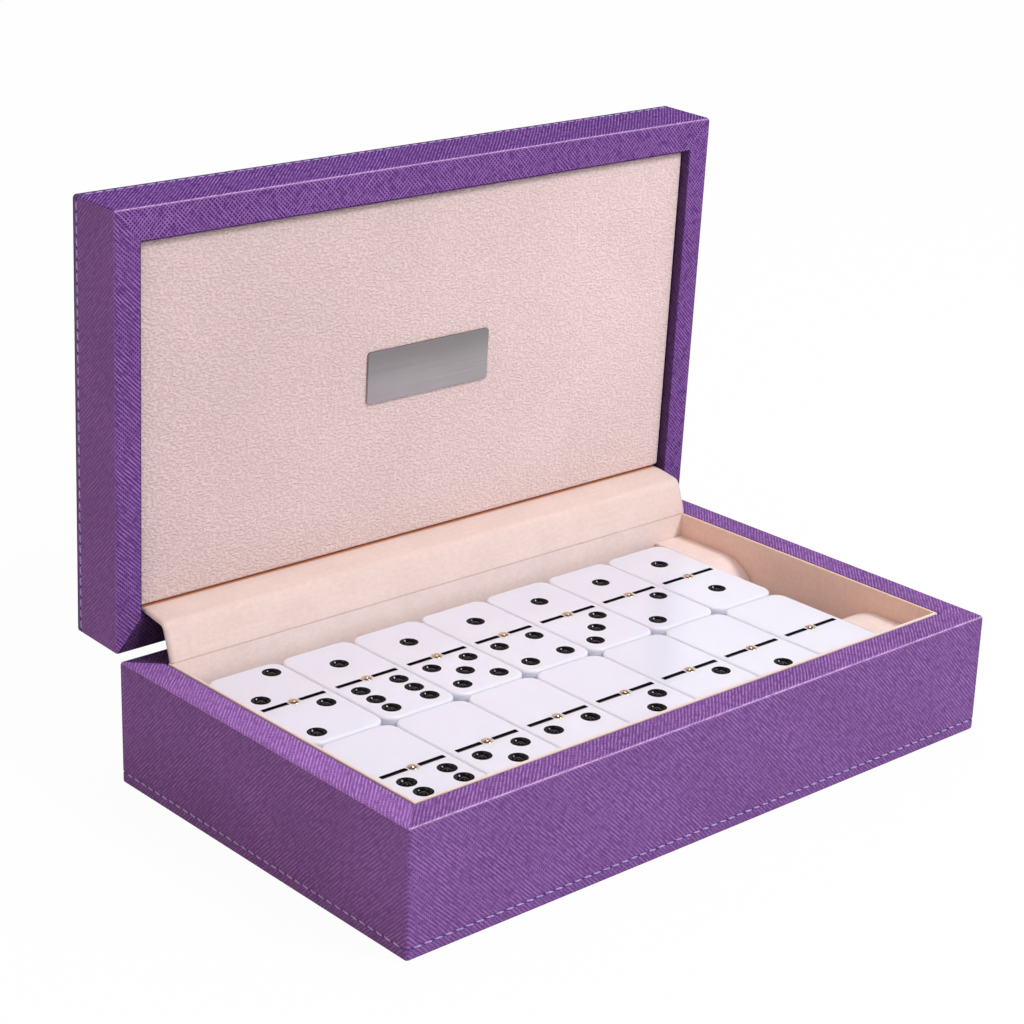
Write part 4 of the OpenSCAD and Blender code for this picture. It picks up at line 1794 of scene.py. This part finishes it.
@dataclass
class DominoSet:
    """The double-six set in its two layers: white bodies, black pips and brass spinners."""

    acrylic: bpy.types.Material
    lacquer: bpy.types.Material
    brass: bpy.types.Material
    length: float = 50.8 * MM
    width: float = 25.4 * MM
    thickness: float = 12.7 * MM
    corner_r: float = 4.2 * MM
    edge_r: float = 0.8 * MM
    pip_r: float = 2.8 * MM
    pip_depth: float = 1.1 * MM
    pip_pitch: float = 6.8 * MM
    # The paint's surface in a pip: share of the radius, share of the depth
    paint: tuple[tuple[float, float], ...] = (
        (0.0, 0.10),
        (0.2, 0.16),
        (0.36, 0.31),
        (0.5, 0.54),
        (0.61, 0.80),
        (0.70, 0.92),
        (0.86, 0.62),
        (1.0, 0.0),
    )
    pip_steps: int = 24
    # Length, width and depth of the centre line
    line: tuple[float, float, float] = (21.6 * MM, 1.7 * MM, 0.4 * MM)
    line_corner_r: float = 0.3 * MM
    line_gap: float = 0.35 * MM  # between the line and the spinner
    spinner_r: float = 1.6 * MM
    spinner_rise: float = 0.6 * MM
    spinner_seat: float = 0.3 * MM
    spinner_steps: int = 28
    dome_points: int = 8
    dome_share: float = 0.97
    shank_r: float = 0.96 * MM
    shank_length: float = 5.0 * MM
    clear: float = 0.02 * MM
    first: tuple[float, float] = (-79.3 * MM, -27.1 * MM)
    column_step: float = 25.65 * MM
    row_step: float = 51.7 * MM
    levels: tuple[float, float] = (4.2 * MM, 17.55 * MM)
    # Pips of the rear and the front half, from left to right, by row and layer
    rows: tuple[tuple[int, int, str], ...] = (
        (0, 0, "66 56 55 46 45 44 36"),
        (1, 0, "35 34 33 26 25 24 23"),
        (0, 1, "06 05 04 03 02 01 00"),
        (1, 1, "22 16 15 14 13 12 11"),
    )

    def spots(self, count: int) -> list[tuple[float, float]]:
        """Where the pips of a half lie, about its middle.

        Args:
            count: Number of pips, from 0 to 6.

        Returns:
            The place of each pip.
        """
        p = self.pip_pitch
        pair, others = [(p, p), (-p, -p)], [(p, -p), (-p, p)]
        return {
            0: [],
            1: [(0.0, 0.0)],
            2: pair,
            3: [*pair, (0.0, 0.0)],
            4: [*pair, *others],
            5: [*pair, *others, (0.0, 0.0)],
            6: [*pair, *others, (p, 0.0), (-p, 0.0)],
        }[count]

    def dish(self) -> bmesh.types.BMesh:
        """The shape that cuts one pip, whose paint has dried in a low dome."""
        profile = [(self.pip_r * r, -self.pip_depth * d) for r, d in self.paint]
        return spun([*profile, (self.pip_r, MM), (0.0, MM)], self.pip_steps)

    def seat(self) -> bmesh.types.BMesh:
        """The shape that cuts the spinner's recess and bore.

        Returns:
            The mesh.
        """
        head, shank = self.spinner_r + self.clear, self.shank_r + self.clear
        low, step = -self.shank_length - self.clear, -self.spinner_seat - self.clear
        outline = [(0, low), (shank, low), (shank, step), (head, step), (head, MM), (0, MM)]
        return spun(outline, self.spinner_steps)

    def spinner(self) -> bmesh.types.BMesh:
        """The turned brass pin, about the face that it stands in.

        Returns:
            The mesh.
        """
        ball = ball_radius(self.spinner_r, self.spinner_rise)
        dome = []
        for step in range(self.dome_points):
            radius = self.spinner_r * self.dome_share * step / (self.dome_points - 1)
            fall = ball - math.sqrt(ball * ball - radius * radius)
            dome.append((radius, self.spinner_rise - fall))
        low = -self.shank_length
        tail = [
            (self.spinner_r, -self.clear),
            (self.spinner_r, -self.spinner_seat),
            (self.shank_r, -self.spinner_seat),
            (self.shank_r, low),
            (0.0, low),
        ]
        return spun([*dome, *tail], self.spinner_steps)

    def cutter(self, pips: str) -> bmesh.types.BMesh:
        """Everything that is cut from a domino, about the middle of its upper face.

        Args:
            pips: Number of pips on the rear half and on the front half.

        Returns:
            The mesh, its painted faces in the second material.
        """
        cutter = bmesh.new()
        dish = self.dish()
        for half, sign in ((pips[0], 1), (pips[1], -1)):
            for x, y in self.spots(int(half)):
                place = Matrix.Translation((x, sign * self.length / 4 + y, 0))
                join(cutter, dish, place, 1)
        dish.free()
        seat = self.seat()
        join(cutter, seat, Matrix.Identity(4), 0)
        seat.free()
        land = self.spinner_r + self.line_gap
        long, wide, deep = self.line
        for sign in (-1, 1):
            near, far = sorted((sign * land, sign * long / 2))
            groove = block((near, -wide / 2, -deep), (far, wide / 2, MM))
            bevel(groove, upright_edges(groove), self.line_corner_r, segments=3)
            join(cutter, groove, Matrix.Identity(4), 1)
            groove.free()
        return cutter

    def body(self, pips: str) -> bmesh.types.BMesh:
        """A domino's body about the middle of its upper face.

        Args:
            pips: Number of pips on the rear half and on the front half.

        Returns:
            The mesh, cut and painted.
        """
        half_w, half_l = self.width / 2, self.length / 2
        solid = block((-half_w, -half_l, -self.thickness), (half_w, half_l, 0))
        bevel(solid, upright_edges(solid), self.corner_r, segments=10)
        faces = [*level_edges(solid, 0.0), *level_edges(solid, -self.thickness)]
        bevel(solid, faces, self.edge_r, segments=5)
        finishes = [self.acrylic, self.lacquer]
        target = mesh_object("body", solid, finishes)
        cutter = mesh_object("cutter", self.cutter(pips), finishes)
        boolean = target.modifiers.new("cut", "BOOLEAN")
        boolean.object = cutter
        boolean.operation = "DIFFERENCE"
        boolean.solver = "EXACT"
        bpy.context.view_layer.update()
        evaluated = target.evaluated_get(bpy.context.evaluated_depsgraph_get())
        result = bmesh.new()
        result.from_mesh(evaluated.to_mesh())
        evaluated.to_mesh_clear()
        for made in (target, cutter):
            data = made.data
            bpy.data.objects.remove(made)
            bpy.data.meshes.remove(data)
        return result

    def build(self) -> None:
        """Makes the twenty-eight dominoes and their spinners."""
        for row, layer, pairs in self.rows:
            for column, pips in enumerate(pairs.split()):
                name = f"domino_{pips[0]}_{pips[1]}"
                place = (
                    self.first[0] + column * self.column_step,
                    self.first[1] + row * self.row_step,
                    self.levels[layer] + self.thickness,
                )
                mesh = self.body(pips)
                move(mesh, place)
                piece(
                    f"tile_{pips[0]}_{pips[1]}",
                    mesh,
                    name,
                    [self.acrylic, self.lacquer],
                    stands_for=[name],
                )
                pin = self.spinner()
                move(pin, place)
                piece(f"spinner_{pips[0]}_{pips[1]}", pin, name, [self.brass])


# ------------------------------------------------------------- carried-over parts


@dataclass
class CarriedParts:
    """CAD parts that are shown as they are, in their own materials."""

    nodes: dict[str, bpy.types.Object]
    felt: tuple[float, float] = (0.1947, 0.1007)

    def dress(self) -> None:
        """Gives each part the material of its kind."""
        board, steel = FIBREBOARD.material(), HINGE_STEEL.material()
        kinds = {
            "_board": board,
            "hinge_": steel,
            "lid_foam_core": FOAM.material(),
            "lid_panel_card": CARD.material(),
            "base_underside_sheet": FELT.material(),
        }
        for name, node in self.nodes.items():
            if node.hide_render:
                continue
            found = next(m for key, m in kinds.items() if key in name)
            node.data.materials.clear()
            node.data.materials.append(found)
            LOG.info("%s wears %s", name, found.name)


# -------------------------------------------------------------------------- stage


@dataclass(frozen=True)
class Softbox:
    """A square lamp that faces the box: where it stands, its side, its watts and its colour."""

    name: str
    place: tuple[float, float, float]
    size: float
    power: float
    colour: Colour
    aim: tuple[float, float, float] = (0.0, 0.0, 0.05)

    def build(self) -> None:
        """Puts the lamp in its place."""
        data = bpy.data.lights.new(self.name, "AREA")
        data.shape, data.size = "SQUARE", self.size
        data.energy, data.color = self.power, self.colour
        aim = Vector(self.aim) - Vector(self.place)
        turn = aim.to_track_quat("-Z", "Y").to_matrix().to_4x4()
        link(self.name, data).matrix_world = Matrix.Translation(self.place) @ turn


@dataclass
class Studio:
    """Camera, soft lights and a plain pale floor."""

    eye: tuple[float, float, float] = (-0.45644560, -0.48063621, 0.31946273)
    right: tuple[float, float, float] = (0.74898076, -0.66190050, 0.03025816)
    up: tuple[float, float, float] = (0.20883064, 0.27915077, 0.93726443)
    ahead: tuple[float, float, float] = (0.62882238, 0.69567419, -0.34730366)
    lens: float = 87.97946
    sensor: float = 36.0
    shift: tuple[float, float] = (-0.0020124, 0.0030909)
    clip: tuple[float, float] = (0.01, 50.0)
    lamps: tuple[Softbox, ...] = (
        Softbox("key", (0.7, -1.3, 1.5), 0.45, 25.0, (0.98, 0.975, 1.0)),
        Softbox("fill", (-1.5, -0.4, 0.9), 1.0, 3.9, (1.0, 0.87, 0.80)),
        Softbox("top", (0.5, 0.45, 1.65), 0.36, 3.5, (0.98, 0.975, 1.0)),
    )
    # The surroundings: their strength as light, the heights between which a reflection of them
    # darkens and how dark it gets, and the side on which their light is warm
    ambient: float = 0.60
    dusk: tuple[float, float] = (0.42, 0.75)
    ceiling: float = 0.12
    warm_side: tuple[float, float, float] = (-0.98, 0.2, 0.0)
    warm_reach: float = 0.6
    left_wall: Colour = (0.86, 0.67, 0.54)
    floor_half: float = 6.0
    floor_drop: float = 0.3 * MM
    floor_colour: Colour = (0.86, 0.86, 0.87)
    floor_glow: float = 0.965

    def camera(self) -> None:
        """The camera."""
        data = bpy.data.cameras.new("camera")
        data.sensor_width, data.lens = self.sensor, self.lens
        data.shift_x, data.shift_y = self.shift
        data.clip_start, data.clip_end = self.clip
        made = link("camera", data)
        back = Vector(self.ahead) * -1
        turn = Matrix((self.right, self.up, back)).transposed().to_4x4()
        made.matrix_world = Matrix.Translation(self.eye) @ turn
        bpy.context.scene.camera = made

    def world(self) -> None:
        """Even pale surroundings, white where the camera or a reflection sees them."""
        graph = Graph("studio", world=True)
        bpy.context.scene.world = graph.owner
        paths = graph.add("ShaderNodeLightPath").outputs
        seen = graph.math("MAXIMUM", paths["Is Camera Ray"], paths["Is Glossy Ray"])
        level = graph.remap(seen, 0.0, 1.0, self.ambient, 1.0, shape="LINEAR")
        where = graph.add("ShaderNodeTexCoord").outputs["Generated"]
        height = graph.parts(where)[2]
        overhead = graph.remap(height, *self.dusk, 1.0, self.ceiling, shape="LINEAR")
        dim = graph.add("ShaderNodeMix", {0: paths["Is Glossy Ray"], 2: 1.0, 3: overhead})
        strength = graph.math("MULTIPLY", level, dim.outputs[0])
        left = graph.vector("DOT_PRODUCT", where, self.warm_side)
        share = graph.remap(left, 0.0, self.warm_reach, shape="LINEAR")
        hidden = graph.math("SUBTRACT", share, seen, clamp=True)
        tint = graph.mix(hidden, (1.0, 1.0, 1.0), self.left_wall)
        light = graph.add("ShaderNodeBackground", {"Color": tint, "Strength": strength})
        graph.add("ShaderNodeOutputWorld", {"Surface": light.outputs[0]})

    def floor(self) -> None:
        """A wide floor that shows white and keeps a soft shadow."""
        graph = Graph("pale_floor")
        paths = graph.add("ShaderNodeLightPath").outputs
        seen = graph.math("MAXIMUM", paths["Is Camera Ray"], paths["Is Glossy Ray"])
        seen = graph.math("MAXIMUM", seen, paths["Is Transmission Ray"])
        matt = graph.add("ShaderNodeBsdfDiffuse", {"Color": self.floor_colour}).outputs[0]
        glow = graph.add("ShaderNodeEmission", {"Color": (1, 1, 1), "Strength": 1.0}).outputs[0]
        share = graph.math("MULTIPLY", seen, self.floor_glow)
        both = graph.add("ShaderNodeMixShader", {0: share, 1: matt, 2: glow})
        graph.add("ShaderNodeOutputMaterial", {"Surface": both.outputs[0]})
        mesh = bmesh.new()
        bmesh.ops.create_grid(mesh, x_segments=1, y_segments=1, size=self.floor_half)
        move(mesh, (0, 0, -self.floor_drop))
        mesh_object("floor", mesh, [graph.owner])

    def build(self) -> None:
        """Sets the stage."""
        self.camera()
        self.world()
        self.floor()
        for lamp in self.lamps:
            lamp.build()
        bpy.context.scene.view_settings.view_transform = "Standard"


def main() -> None:
    """Builds the stage and every piece."""
    logging.basicConfig(level=logging.INFO, format="%(name)s: %(message)s")
    Studio().build()
    leather, thread = CrossGrainLeather().material(), Thread().material()
    suede = CREAM_SUEDE.material()
    BaseCase(leather, thread).build()
    LidCase(leather, EdgePaint().material(), thread).build()
    LidPanel(PebbledSkin().material(), PLATE_STEEL.material()).build()
    Lining(suede, BOUNCE_LIT_SUEDE.material()).build()
    WellPads(suede).build()
    HingeFlap(FLAP_SUEDE.material()).build()
    DominoSet(Acrylic().material(), BlackLacquer().material(), BRASS.material()).build()
    CarriedParts(frame["nodes"]).dress()


if __name__ == "__main__":
    main()
